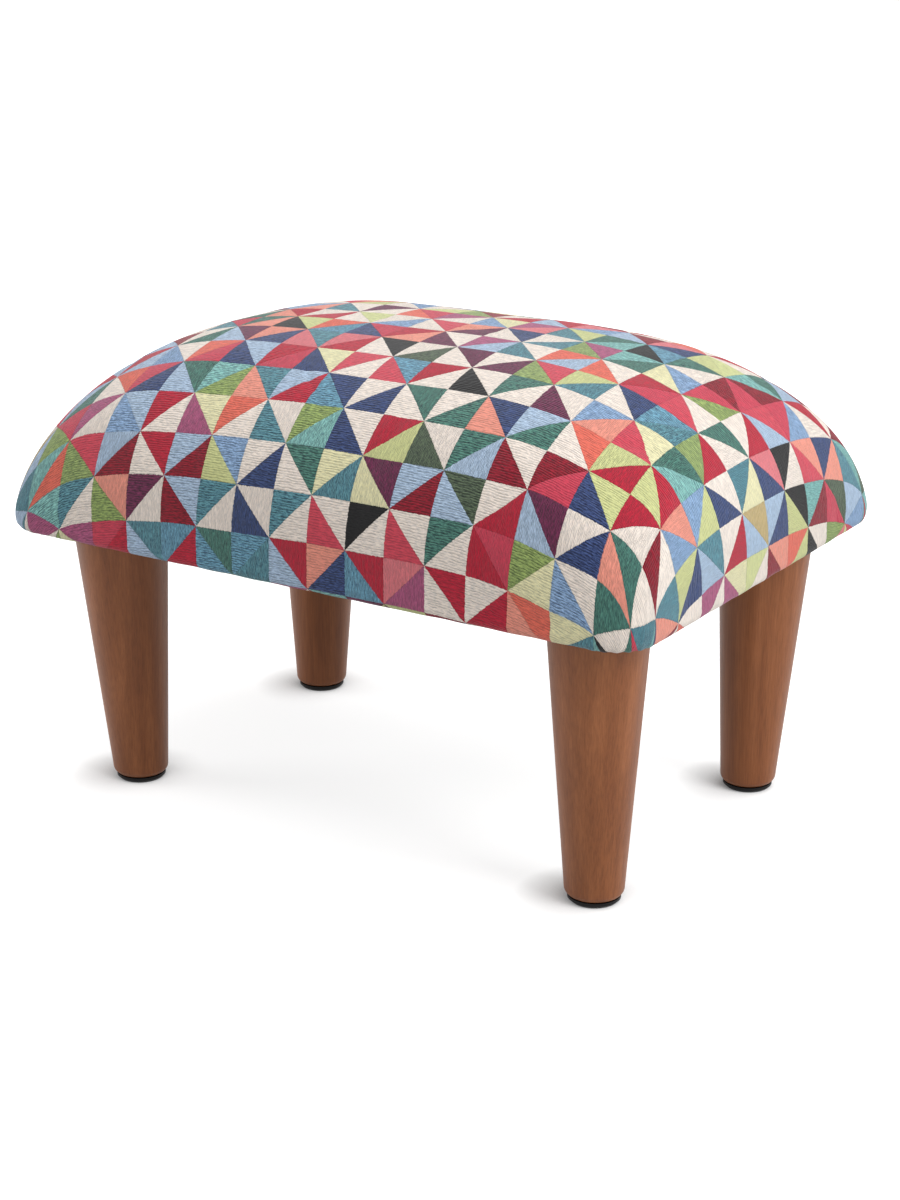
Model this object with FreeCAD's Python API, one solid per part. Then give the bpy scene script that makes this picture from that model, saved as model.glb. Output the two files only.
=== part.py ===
import FreeCAD, Part
import math
import os

from FreeCAD import Placement, Rotation, Vector

# Upholstered footstool, in millimetres.
# The floor is z = 0, +X runs along the long side, and the front faces -Y.

# Seat, at its widest line and from its lower edge up
seat_length = 400.0
seat_depth = 287.0
crown_rise = 107.0
belt_rise = 5.5
edge_draw_in = 4.7
edge_corner_radius = 22.0
edge_roll_steps = 3

# How the crown rounds off, as powers and shares of its height
crown_power_x = 3.66
crown_power_y = 2.80
crown_fall_x = 0.38
crown_fall_y = 0.40
crown_corner_share = 0.86
crown_corner_power = 1.6
short_side_bow = 0.20
short_side_bow_power = 2.0
long_side_bow = 0.085
long_side_bow_power = 1.5
straight_side_bow = 0.4
crown_levels = [0.0, 0.2, 0.4, 0.58, 0.72, 0.83, 0.91, 0.965, 0.995]

# Layers of the upholstery
cover_thickness = 1.2
cover_past_rail = 1.0
wadding_thickness = 8.0
layer_gap = 0.2
foam_base_thickness = 25.0

# Wooden frame inside
side_padding = 26.0
rail_thickness = 12.0
rail_height = 38.0
deck_thickness = 6.0
deck_corner_radius = 12.0
block_height = 30.0
block_past_leg = 28.0

# Legs
leg_length = 151.0
leg_inset_x = 46.0
leg_inset_y = 48.5
leg_top_diameter = 53.0
leg_foot_diameter = 31.0
leg_foot_rounding = 3.5
leg_top_easing = 1.0
foot_lean_x = 2.5
foot_lean_y = 5.5
rounding_steps = 4

# Glides under the feet
glide_thickness = 3.0
glide_diameter = 28.0
glide_edge = 1.5
nail_diameter = 2.0
nail_length = 14.0
nail_head_diameter = 6.0
nail_head_thickness = 1.0
nail_head_recess = 1.2

# Leg fixings
bolt_diameter = 8.0
bolt_in_leg = 30.0
bolt_in_insert = 18.0
insert_diameter = 12.0
insert_length = 22.0
thread_clearance = 0.1
cover_hole_clearance = 1.0

# Wood screws of the frame
screw_diameter = 4.0
screw_head_diameter = 8.0
screw_head_height = 2.6
rail_screw_length = 32.0
block_screw_length = 44.0
deck_screw_length = 26.0
screw_edge_distance = 9.0
rail_screw_heights = (0.3, 0.75)
block_screw_heights = (0.7, 0.3)
deck_screws_long_side = 3
deck_screws_short_side = 2
deck_screw_spread = 1.6

# Staples of the cover and of the dust cover
staple_crown = 10.0
staple_wire = 0.6
staple_leg = 8.0
staple_spacing = 26.0
staple_corner_margin = 24.0
cover_staple_shift = 0.0
dust_cover_staple_shift = 0.5

# Dust cover
dust_cover_thickness = 0.5
dust_cover_margin = 12.0
dust_cover_corner_radius = 6.0

# Half sizes at the widest line
half_length = seat_length / 2
half_depth = seat_depth / 2

# Heights of the layers above the floor
underside_z = glide_thickness + leg_length
staple_layer_z = underside_z + dust_cover_thickness
cover_bottom_z = staple_layer_z + staple_wire
rail_bottom_z = cover_bottom_z + cover_thickness
rail_top_z = rail_bottom_z + rail_height
deck_top_z = rail_top_z + deck_thickness
foam_base_top_z = deck_top_z + foam_base_thickness
belt_z = cover_bottom_z + belt_rise

# Half sizes of the wooden frame
frame_x = half_length - side_padding
frame_y = half_depth - side_padding
inner_x = frame_x - rail_thickness
inner_y = frame_y - rail_thickness
rail_line_x = frame_x - rail_thickness / 2
rail_line_y = frame_y - rail_thickness / 2

# Leg places at the underside and at the floor, and where the corner blocks end
leg_x = half_length - leg_inset_x
leg_y = half_depth - leg_inset_y
foot_x = leg_x - foot_lean_x
foot_y = leg_y - foot_lean_y
block_x = leg_x - block_past_leg
block_y = leg_y - block_past_leg

CORNERS = {
    "front_left": (-1, -1),
    "front_right": (1, -1),
    "back_left": (-1, 1),
    "back_right": (1, 1),
}
UP = Vector(0, 0, 1)


def save(name, shape):
    """Write one node's solid or group of solids."""
    shape.exportStep(os.path.join("parts", name + ".step"))


def span_box(low, high):
    """A box between two corners."""
    size = [high[i] - low[i] for i in range(3)]
    return Part.makeBox(size[0], size[1], size[2], Vector(*low))


def rounded_plate(half_x, half_y, radius, low_z, thickness):
    """A flat plate with rounded vertical corners."""
    plate = span_box((-half_x, -half_y, low_z), (half_x, half_y, low_z + thickness))
    upright = [e for e in plate.Edges if abs(e.tangentAt(e.FirstParameter).z) > 0.9]
    return plate.makeFillet(radius, upright)


def group(solids):
    """Separate solids kept together as one node."""
    return Part.makeCompound(solids)


def cut_all(body, tools):
    """The body less each of the tools."""
    return body.cut(Part.makeCompound(tools))


def seat_outline(half_x, half_y, corner, bow_x, bow_y, z):
    """A level outline: four bowed sides joined by four corner arcs that touch them smoothly."""
    radius_x = half_y * half_y / (2 * bow_x) + bow_x / 2
    radius_y = half_x * half_x / (2 * bow_y) + bow_y / 2
    side_x = half_x - radius_x
    side_y = half_y - radius_y
    reach_x = radius_x - corner
    reach_y = radius_y - corner
    apart = math.hypot(side_x, side_y)
    along = (reach_x ** 2 - reach_y ** 2 + apart ** 2) / (2 * apart)
    across = math.sqrt(reach_x ** 2 - along ** 2)
    unit_x = -side_x / apart
    unit_y = side_y / apart
    centre = Vector(side_x + unit_x * along - unit_y * across, unit_y * along + unit_x * across, z)
    if centre.x < 0 or centre.y < 0:
        centre = Vector(side_x + unit_x * along + unit_y * across, unit_y * along - unit_x * across, z)
    out_x = (centre - Vector(side_x, 0, z)).normalize()
    out_y = (centre - Vector(0, side_y, z)).normalize()
    diagonal = (out_x + out_y).normalize()
    touch_x = centre + out_x * corner
    touch_mid = centre + diagonal * corner
    touch_y = centre + out_y * corner

    def mirrored(point, sign_x, sign_y):
        return Vector(point.x * sign_x, point.y * sign_y, z)

    signs = [(1, 1), (-1, 1), (-1, -1), (1, -1)]
    edges = []
    for index, (sign_x, sign_y) in enumerate(signs):
        start, finish = (touch_x, touch_y) if index % 2 == 0 else (touch_y, touch_x)
        next_sign = signs[(index + 1) % 4]
        side_mid = Vector(0, half_y * sign_y, z) if index % 2 == 0 else Vector(half_x * sign_x, 0, z)
        corner_arc = Part.Arc(
            mirrored(start, sign_x, sign_y),
            mirrored(touch_mid, sign_x, sign_y),
            mirrored(finish, sign_x, sign_y),
        )
        side_arc = Part.Arc(
            mirrored(finish, sign_x, sign_y),
            side_mid,
            mirrored(finish, *next_sign),
        )
        edges += [corner_arc.toShape(), side_arc.toShape()]
    return Part.Wire(edges)


def seat_form(inset, bottom_z):
    """The domed seat, drawn in by an even inset, from its lower edge to its crown.

    The lower edge rolls out to the widest line in a quarter of an ellipse. Above it, half
    length at a share t of the crown's height is a * (1 - t ** (1 / fall)) ** (1 / power), and
    half depth is the same with its own fall and power.
    """
    base_x = half_length - inset
    base_y = half_depth - inset
    rise = crown_rise - inset
    corner = max(edge_corner_radius - inset, edge_corner_radius / 4)
    outlines = []
    for step in range(edge_roll_steps):
        angle = math.pi / 2 * step / edge_roll_steps
        draw_in = edge_draw_in * (1 - math.sin(angle))
        z = bottom_z + (belt_z - bottom_z) * (1 - math.cos(angle))
        outlines.append(
            seat_outline(
                base_x - draw_in,
                base_y - draw_in,
                corner,
                straight_side_bow,
                straight_side_bow,
                z,
            )
        )
    for t in crown_levels:
        at_x = base_x * (1 - t ** (1 / crown_fall_x)) ** (1 / crown_power_x)
        at_y = base_y * (1 - t ** (1 / crown_fall_y)) ** (1 / crown_power_y)
        round_corner = corner * (1 - t) + crown_corner_share * at_y * t ** crown_corner_power
        bow_x = straight_side_bow + short_side_bow * at_y * t ** short_side_bow_power
        bow_y = straight_side_bow + long_side_bow * at_x * t ** long_side_bow_power
        outlines.append(seat_outline(at_x, at_y, round_corner, bow_x, bow_y, belt_z + t * rise))
    return Part.makeLoft(outlines, True, False)


def wood_screw(length, head_at, direction):
    """A countersunk screw whose head's flat face is at a point."""
    tip = Part.makeCone(screw_diameter / 2, 0, screw_diameter)
    tip.translate(UP * (length - screw_diameter))
    shank = Part.makeCylinder(screw_diameter / 2, length - screw_diameter)
    head = Part.makeCone(screw_head_diameter / 2, screw_diameter / 2, screw_head_height)
    screw = shank.fuse([head, tip]).removeSplitter()
    screw.Placement = Placement(head_at, Rotation(UP, direction))
    return screw


def staple(at, along_x):
    """A staple with its crown below and its two legs pointing up."""
    crown = span_box(
        (-staple_crown / 2, -staple_wire / 2, 0),
        (staple_crown / 2, staple_wire / 2, staple_wire),
    )
    legs = [
        span_box(
            (left, -staple_wire / 2, staple_wire),
            (left + staple_wire, staple_wire / 2, staple_leg),
        )
        for left in (-staple_crown / 2, staple_crown / 2 - staple_wire)
    ]
    bent = crown.fuse(legs).removeSplitter()
    turn = Rotation(UP, 0 if along_x else 90)
    bent.Placement = Placement(at, turn)
    return bent


def spaced(reach, spacing, shift):
    """Even positions along a side, centred, with an optional shift of a share of the spacing."""
    steps = int(reach // spacing)
    places = [(i + shift) * spacing for i in range(-steps, steps + 1)]
    return [p for p in places if abs(p) <= reach]


def staple_rows(reach_x, reach_y, shift, z):
    """Staples along the four rails' middle lines."""
    row = []
    for sign in (-1, 1):
        for place in spaced(reach_x, staple_spacing, shift):
            row.append(staple(Vector(place, sign * rail_line_y, z), True))
        for place in spaced(reach_y, staple_spacing, shift):
            row.append(staple(Vector(sign * rail_line_x, place, z), False))
    return row


def leg(sign_x, sign_y):
    """A round tapered leg with a rounded foot and an eased top, leaning slightly inward."""
    taper = (leg_top_diameter - leg_foot_diameter) / 2 / leg_length

    def ring(height, trim):
        share = height / leg_length
        centre = Vector(
            sign_x * (foot_x + foot_lean_x * share),
            sign_y * (foot_y + foot_lean_y * share),
            glide_thickness + height,
        )
        radius = leg_foot_diameter / 2 + taper * height - trim
        return Part.Wire([Part.Circle(centre, UP, radius).toShape()])

    rings = []
    for step in range(rounding_steps + 1):
        angle = math.pi / 2 * step / rounding_steps
        height = leg_foot_rounding * (1 - math.cos(angle))
        rings.append(ring(height, leg_foot_rounding * (1 - math.sin(angle))))
    rings.append(ring(leg_length - leg_top_easing, 0))
    rings.append(ring(leg_length, leg_top_easing))
    return Part.makeLoft(rings, True, True)


def glide(sign_x, sign_y):
    """A round glide with a chamfered rim and a recess for its nail's head."""
    centre = Vector(sign_x * foot_x, sign_y * foot_y, 0)
    radius = glide_diameter / 2
    rim = Part.makeCylinder(radius, glide_thickness - glide_edge, centre + UP * glide_edge)
    sole = Part.makeCone(radius - glide_edge, radius, glide_edge, centre)
    disc = rim.fuse(sole).removeSplitter()
    recess = Part.makeCylinder(nail_head_diameter / 2, nail_head_recess, centre)
    return disc.cut(recess)


def glide_nail(sign_x, sign_y):
    """A flat-headed nail, driven up through the glide into the foot."""
    centre = Vector(sign_x * foot_x, sign_y * foot_y, nail_head_recess - nail_head_thickness)
    head = Part.makeCylinder(nail_head_diameter / 2, nail_head_thickness, centre)
    neck = centre + UP * nail_head_thickness
    shank_length = nail_length - nail_diameter
    shank = Part.makeCylinder(nail_diameter / 2, shank_length, neck)
    point = Part.makeCone(nail_diameter / 2, 0, nail_diameter, neck + UP * shank_length)
    return head.fuse([shank, point]).removeSplitter()


def threaded_insert(sign_x, sign_y):
    """A threaded sleeve sunk into a corner block."""
    centre = Vector(sign_x * leg_x, sign_y * leg_y, rail_bottom_z)
    sleeve = Part.makeCylinder(insert_diameter / 2, insert_length, centre)
    return sleeve.cut(Part.makeCylinder(bolt_diameter / 2 + thread_clearance, insert_length, centre))


def hanger_bolt(sign_x, sign_y):
    """A stud that is fixed in the leg and screws into the insert."""
    start = Vector(sign_x * leg_x, sign_y * leg_y, underside_z - bolt_in_leg)
    reach = bolt_in_leg + rail_bottom_z - underside_z + bolt_in_insert
    return Part.makeCylinder(bolt_diameter / 2, reach, start)


def leg_bore(sign_x, sign_y):
    """The hole in a leg's top for its stud."""
    start = Vector(sign_x * leg_x, sign_y * leg_y, underside_z - bolt_in_leg)
    return Part.makeCylinder(bolt_diameter / 2, bolt_in_leg, start)


def at_corners(make):
    """One of something at each corner."""
    return [make(*signs) for signs in CORNERS.values()]


# Wood screws
rail_screws = []
block_screws = []
for sx, sy in CORNERS.values():
    for share in rail_screw_heights:
        head = Vector(sx * rail_line_x, sy * frame_y, rail_bottom_z + share * rail_height)
        rail_screws.append(wood_screw(rail_screw_length, head, Vector(0, -sy, 0)))
    upper_z, lower_z = (rail_bottom_z + share * block_height for share in block_screw_heights)
    head = Vector(sx * block_x, sy * (block_y + screw_edge_distance), upper_z)
    block_screws.append(wood_screw(block_screw_length, head, Vector(sx, 0, 0)))
    head = Vector(sx * (block_x + screw_edge_distance), sy * block_y, lower_z)
    block_screws.append(wood_screw(block_screw_length, head, Vector(0, sy, 0)))

deck_screws = []
for sign in (-1, 1):
    for i in range(deck_screws_long_side):
        place = (i - (deck_screws_long_side - 1) / 2) * deck_screw_spread * inner_x / deck_screws_long_side
        head = Vector(place, sign * rail_line_y, deck_top_z)
        deck_screws.append(wood_screw(deck_screw_length, head, Vector(0, 0, -1)))
    for i in range(deck_screws_short_side):
        place = (i - (deck_screws_short_side - 1) / 2) * inner_y
        head = Vector(sign * rail_line_x, place, deck_top_z)
        deck_screws.append(wood_screw(deck_screw_length, head, Vector(0, 0, -1)))

# Staples
cover_staples = staple_rows(
    frame_x - staple_corner_margin,
    frame_y - staple_corner_margin,
    cover_staple_shift,
    staple_layer_z,
)
clear_of_leg = leg_top_diameter / 2 + staple_crown
dust_cover_staples = staple_rows(
    leg_x - clear_of_leg,
    leg_y - clear_of_leg,
    dust_cover_staple_shift,
    underside_z - staple_wire,
)
staples = cover_staples + dust_cover_staples
inserts = at_corners(threaded_insert)
bolts = at_corners(hanger_bolt)
insert_bores = [
    Part.makeCylinder(
        insert_diameter / 2,
        insert_length,
        Vector(sx * leg_x, sy * leg_y, rail_bottom_z),
    )
    for sx, sy in CORNERS.values()
]
bolt_bores = [
    Part.makeCylinder(
        bolt_diameter / 2 + thread_clearance,
        insert_length + bolt_in_leg,
        Vector(sx * leg_x, sy * leg_y, underside_z - bolt_in_leg),
    )
    for sx, sy in CORNERS.values()
]
frame_fixings = rail_screws + block_screws + deck_screws + staples

# Frame
rails = {}
for name, sign in (("front_rail", -1), ("back_rail", 1)):
    near = sign * inner_y
    far = sign * frame_y
    rails[name] = span_box(
        (-frame_x, min(near, far), rail_bottom_z),
        (frame_x, max(near, far), rail_top_z),
    )
for name, sign in (("left_rail", -1), ("right_rail", 1)):
    near = sign * inner_x
    far = sign * frame_x
    rails[name] = span_box(
        (min(near, far), -inner_y, rail_bottom_z),
        (max(near, far), inner_y, rail_top_z),
    )
for name, rail in rails.items():
    rails[name] = cut_all(rail, frame_fixings)

blocks = {}
for corner, (sx, sy) in CORNERS.items():
    xs = sorted((sx * block_x, sx * inner_x))
    ys = sorted((sy * block_y, sy * inner_y))
    block = span_box(
        (xs[0], ys[0], rail_bottom_z),
        (xs[1], ys[1], rail_bottom_z + block_height),
    )
    blocks["corner_block_" + corner] = cut_all(block, block_screws + insert_bores)

deck = rounded_plate(frame_x, frame_y, deck_corner_radius, rail_top_z, deck_thickness)
deck = cut_all(deck, deck_screws)

# Padding
foam_inset = cover_thickness + layer_gap + wadding_thickness + layer_gap
foam = seat_form(foam_inset, rail_bottom_z)
above = seat_length
level = span_box((-above, -above, deck_top_z), (above, above, foam_base_top_z))
higher = span_box((-above, -above, foam_base_top_z), (above, above, foam_base_top_z + above))
foam_base = foam.common(level)
foam_crown = foam.common(higher)
frame_room = span_box((-frame_x, -frame_y, 0), (frame_x, frame_y, deck_top_z))
below = span_box((-above, -above, 0), (above, above, deck_top_z))
edge_foam = foam.common(below).cut(frame_room)
edge_parts = {
    "front_edge_foam": span_box((-above, -above, 0), (above, -frame_y, deck_top_z)),
    "back_edge_foam": span_box((-above, frame_y, 0), (above, above, deck_top_z)),
    "left_edge_foam": span_box((-above, -frame_y, 0), (-frame_x, frame_y, deck_top_z)),
    "right_edge_foam": span_box((frame_x, -frame_y, 0), (above, frame_y, deck_top_z)),
}

wadding_inset = cover_thickness + layer_gap
wadding = seat_form(wadding_inset, rail_bottom_z)
wadding = wadding.cut(seat_form(wadding_inset + wadding_thickness, rail_bottom_z))

# Seat cover, closed over the crown and turned under at its lower edge
cover = seat_form(0.0, cover_bottom_z)
cover = cover.cut(seat_form(cover_thickness, rail_bottom_z))
opening_x = inner_x - cover_past_rail
opening_y = inner_y - cover_past_rail
cover = cover.cut(
    span_box((-opening_x, -opening_y, cover_bottom_z), (opening_x, opening_y, rail_bottom_z))
)
cover = cut_all(cover, staples)

# Dust cover under the frame
dust_cover = rounded_plate(
    half_length - edge_draw_in - dust_cover_margin,
    half_depth - edge_draw_in - dust_cover_margin,
    dust_cover_corner_radius,
    underside_z,
    dust_cover_thickness,
)
stud_holes = [
    Part.makeCylinder(
        bolt_diameter / 2 + cover_hole_clearance,
        dust_cover_thickness,
        Vector(sx * leg_x, sy * leg_y, underside_z),
    )
    for sx, sy in CORNERS.values()
]
dust_cover = cut_all(dust_cover, stud_holes + dust_cover_staples)

os.makedirs("parts", exist_ok=True)
for name, rail in rails.items():
    save(name, rail)
for name, block in blocks.items():
    save(name, block)
save("deck_board", deck)
save("rail_screws", group(rail_screws))
save("block_screws", group(block_screws))
save("deck_screws", group(deck_screws))
save("foam_base", foam_base)
save("foam_crown", foam_crown)
for name, part in edge_parts.items():
    save(name, edge_foam.common(part))
save("wadding", wadding)
save("seat_cover", cover)
save("cover_staples", group(cover_staples))
save("dust_cover", dust_cover)
save("dust_cover_staples", group(dust_cover_staples))
save("threaded_inserts", group(inserts))
save("hanger_bolts", group(bolts))
nails = at_corners(glide_nail)
save("glide_nails", group(nails))
for corner, (sx, sy) in CORNERS.items():
    turned_leg = leg(sx, sy)
    save("leg_" + corner, cut_all(turned_leg, [leg_bore(sx, sy)] + nails))
    save("glide_" + corner, cut_all(glide(sx, sy), nails))
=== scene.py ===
"""The looks of an upholstered footstool: a domed seat in a woven patchwork tapestry on turned wooden legs.

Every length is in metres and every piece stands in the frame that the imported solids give.
"""

import logging
import math
from dataclasses import dataclass, field, replace
from enum import Enum
from typing import Any, Sequence

import bpy
import numpy as np
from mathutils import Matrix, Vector


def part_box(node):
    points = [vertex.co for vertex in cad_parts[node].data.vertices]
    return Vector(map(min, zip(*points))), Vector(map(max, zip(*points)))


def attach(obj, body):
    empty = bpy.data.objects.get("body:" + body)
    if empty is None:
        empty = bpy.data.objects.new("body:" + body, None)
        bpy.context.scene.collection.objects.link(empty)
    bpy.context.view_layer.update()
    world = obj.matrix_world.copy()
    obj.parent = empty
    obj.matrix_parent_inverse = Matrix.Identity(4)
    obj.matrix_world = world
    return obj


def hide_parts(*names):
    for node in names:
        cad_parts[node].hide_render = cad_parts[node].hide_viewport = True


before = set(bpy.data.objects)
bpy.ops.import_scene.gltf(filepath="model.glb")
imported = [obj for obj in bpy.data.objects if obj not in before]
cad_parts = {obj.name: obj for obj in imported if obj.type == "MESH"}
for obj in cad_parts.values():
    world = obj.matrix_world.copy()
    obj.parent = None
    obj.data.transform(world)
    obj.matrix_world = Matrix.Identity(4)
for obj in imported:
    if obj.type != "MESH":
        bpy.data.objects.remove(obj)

LOG = logging.getLogger("footstool")
MM = 0.001
TURN = 2 * math.pi
TINY = 1e-12
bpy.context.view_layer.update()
INSERT_RADIUS = 6.0 * MM
HEM_PAST_RAIL = 1.0 * MM
CORNERS = {
    "front_left": (-1, -1),
    "front_right": (1, -1),
    "back_left": (-1, 1),
    "back_right": (1, 1),
}
Tree = bpy.types.NodeTree
Node = bpy.types.Node
Source = bpy.types.Node | bpy.types.NodeSocket


def linear(code: str) -> tuple[float, float, float, float]:
    """Turns an sRGB hex colour into linear light.

    Args:
        code: six hex digits with a leading hash.

    Returns:
        Red, green, blue and an alpha of 1.
    """
    parts = [int(code[i:i + 2], 16) / 255 for i in (1, 3, 5)]
    light = [c / 12.92 if c <= 0.04045 else ((c + 0.055) / 1.055) ** 2.4 for c in parts]
    return light[0], light[1], light[2], 1.0


def add_node(tree: Tree, kind: str, *inputs: Any, **options: Any) -> Node:
    """Adds one shader node with its settings and links.

    Args:
        tree: the node tree.
        kind: the node's class without its leading ShaderNode, such as Math.
        *inputs: what the inputs that show take, in their order. A socket is linked, a node gives
            its first output that shows, and anything else is set as the input's value.
        **options: a name with a capital is an input, with underscores for its spaces. The name
            stops holds a colour ramp's places and hex colours, and steady makes its steps sharp.
            Any other name is a property of the node.

    Returns:
        The new node.
    """
    node = tree.nodes.new("ShaderNode" + kind)
    stops, steady = options.pop("stops", ()), options.pop("steady", False)
    named = {name: value for name, value in options.items() if name[0].isupper()}
    for name, value in options.items():
        if name not in named:
            setattr(node, name, value)
    shown = [socket for socket in node.inputs if socket.enabled]
    pairs = list(zip(shown, inputs))
    pairs += [(node.inputs[name.replace("_", " ")], value) for name, value in named.items()]
    for target, value in pairs:
        if isinstance(value, Node):
            value = next(socket for socket in value.outputs if socket.enabled)
        if isinstance(value, bpy.types.NodeSocket):
            tree.links.new(value, target)
        else:
            target.default_value = value
    if stops:
        node.color_ramp.interpolation = "CONSTANT" if steady else "LINEAR"
        elements = node.color_ramp.elements
        while len(elements) < len(stops):
            elements.new(1.0)
        for element, (place, code) in zip(elements, stops):
            element.position = place
            element.color = linear(code)
    return node


def new_material(name: str) -> tuple[bpy.types.Material, Tree]:
    """Starts a material with an empty node tree.

    Args:
        name: the material's name.

    Returns:
        The material and its node tree.
    """
    material = bpy.data.materials.new(name)
    material.use_nodes = True
    material.node_tree.nodes.clear()
    return material, material.node_tree


def finish_surface(tree: Tree, height: Source, strength: float, relief: float, **looks: Any) -> None:
    """Ends a material with one main shader, whose surface carries a height pattern.

    Args:
        tree: the material's node tree.
        height: the height pattern.
        strength: share of the pattern's full effect.
        relief: the pattern's real height in metres.
        **looks: the main shader's inputs, by name.
    """
    bump = add_node(tree, "Bump", Height=height, Strength=strength, Distance=relief)
    shader = add_node(tree, "BsdfPrincipled", Normal=bump, **looks)
    add_node(tree, "OutputMaterial", shader)


def stretched_noise(
    tree: Tree, place: Source, rates: Sequence[float], detail: float = 2.0, roughness: float = 0.5
) -> Node:
    """Noise on a place that is scaled by its own amount along each axis.

    Args:
        tree: the material's node tree.
        place: the coordinates.
        rates: waves to a metre along each axis.
        detail: how many finer layers.
        roughness: how strong the finer layers are.

    Returns:
        The noise node, whose first output is the value.
    """
    scaled = add_node(tree, "Mapping", place, Scale=rates)
    return add_node(
        tree, "TexNoise", noise_dimensions="3D", Vector=scaled, Scale=1.0, Detail=detail, Roughness=roughness
    )


@dataclass(frozen=True)
class PatchworkTapestry:
    """Woven cotton and polyester tapestry: squares cut into triangles, in many dyed yarns.

    The cloth is a flat weave with heavy weft ribs. It looks dry and matte. Dark yarns let specks of
    the warp through, some patches pass from one yarn to another, and the edges between patches are
    slightly stepped. Every second triangle is drawn from the pale yarns, so patches stay apart.
    """

    # The grid of patches on the flat cloth, and how far a join wanders and steps from rib to rib.
    cell_u: float = 23.8 * MM
    cell_v: float = 24.6 * MM
    start_u: float = 10.9 * MM
    start_v: float = -162.3 * MM
    skew: float = 0.027
    edge_wander: float = 1.1 * MM
    wander_rate: float = 0.35
    step_share: float = 0.5
    join_width: float = 0.45 * MM
    diagonal_reach: float = 0.7

    # The share of deep patches that pass into a second yarn, and of patches whose ribs are turned.
    mixed_share: float = 0.44
    blend_rates: tuple[float, float] = (0.9, 1.2)
    blend_band: tuple[float, float] = (0.38, 0.60)
    turned_share: float = 0.30
    turned_fineness: float = 1.7

    # Real ribs and threads. The ribs are drawn as coarse as the eye reads them from the photograph.
    rib_spacing: float = 1.35 * MM
    rib_drift: float = 1.5
    drift_rate: float = 0.3
    slub_length: float = 8.0 * MM
    slub_rates: tuple[float, float] = (1.4, 0.7)
    slub_band: tuple[float, float] = (0.32, 0.52)
    thread_length: float = 2.8 * MM
    thread_width: float = 0.6 * MM
    thread_roughness: float = 0.7
    relief: float = 0.30 * MM
    relief_strength: float = 0.8
    thread_height: float = 0.5
    join_height: float = -0.4

    # Specks, and the painted shade in the rib furrows, show most on dark yarns, and less where the ends are
    # pulled tight.
    red_band: tuple[float, float] = (0.02, 0.55)
    pale_contrast: float = 0.22
    tight_band: tuple[float, float] = (165.0 * MM, 225.0 * MM)
    tight_contrast: float = 0.5
    shaded_tint: tuple[float, float, float, float] = (0.42, 0.42, 0.50, 1.0)
    worn_tint: tuple[float, float, float, float] = (1.9, 1.7, 1.55, 1.0)
    speck_band: tuple[float, float] = (0.36, 0.62)
    # Painted shade: the colour is darkened in the furrows between the ribs, as shade in the grooves.
    furrow_shade_band: tuple[float, float] = (0.02, 0.40)
    painted_furrow_shade: float = 0.80
    furrow_shade_by_contrast: float = 0.7
    furrow_shade_everywhere: float = 0.28
    join_shade: float = -0.20

    # Dry yarn: rough, with a faint bloom of loose fibres.
    roughness: float = 0.88
    sheen: float = 0.25
    sheen_roughness: float = 0.5
    specular: float = 0.22

    pale_yarns: tuple[tuple[float, str], ...] = (
        (0.000, "#F2E8DE"),
        (0.400, "#A9C2DC"),
        (0.550, "#E9E6BA"),
        (0.625, "#CFD596"),
        (0.675, "#EE9A88"),
        (0.735, "#CC4258"),
        (0.795, "#7DB8B6"),
        (0.860, "#6499B4"),
        (0.915, "#8EA668"),
        (0.955, "#E07C84"),
    )
    deep_yarns: tuple[tuple[float, str], ...] = (
        (0.000, "#B82039"),
        (0.150, "#88162A"),
        (0.215, "#D24A5C"),
        (0.275, "#E56F5D"),
        (0.335, "#344775"),
        (0.480, "#46786F"),
        (0.560, "#548A9A"),
        (0.660, "#85A7CE"),
        (0.735, "#65264A"),
        (0.795, "#A9577E"),
        (0.840, "#8CA562"),
        (0.890, "#D3DA9C"),
        (0.915, "#C2AE7C"),
        (0.935, "#4D5F4C"),
        (0.955, "#101012"),
    )

    def build(self) -> bpy.types.Material:
        """Builds the material. It reads the cloth's own coordinates from the piece's UV map.

        Returns:
            The material.
        """
        material, tree = new_material("patchwork_tapestry")
        cloth = add_node(tree, "UVMap", uv_map="cloth")
        base, join, turned = self.patches(tree, cloth)
        colour, height = self.weave(tree, cloth, base, join, turned)
        finish_surface(
            tree, height, self.relief_strength, self.relief,
            Base_Color=colour, Roughness=self.roughness, Specular_IOR_Level=self.specular,
            Sheen_Weight=self.sheen, Sheen_Roughness=self.sheen_roughness,
        )
        return material

    def shift(self, tree: Tree, place: Source, rate: float, reach: float) -> Node:
        """Moves a place by a noise, by up to half of a reach each way.

        Args:
            tree: the material's node tree.
            place: the coordinates.
            rate: the noise's waves to a metre.
            reach: the whole width of the movement.

        Returns:
            The moved place.
        """
        noise = add_node(tree, "TexNoise", noise_dimensions="2D", Vector=place, Scale=rate, Detail=1.0)
        middle = (0.5, 0.5, 0.5)
        centred = add_node(tree, "VectorMath", noise.outputs["Color"], middle, operation="SUBTRACT")
        return add_node(tree, "VectorMath", centred, (reach, reach, 0.0), place, operation="MULTIPLY_ADD")

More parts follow.
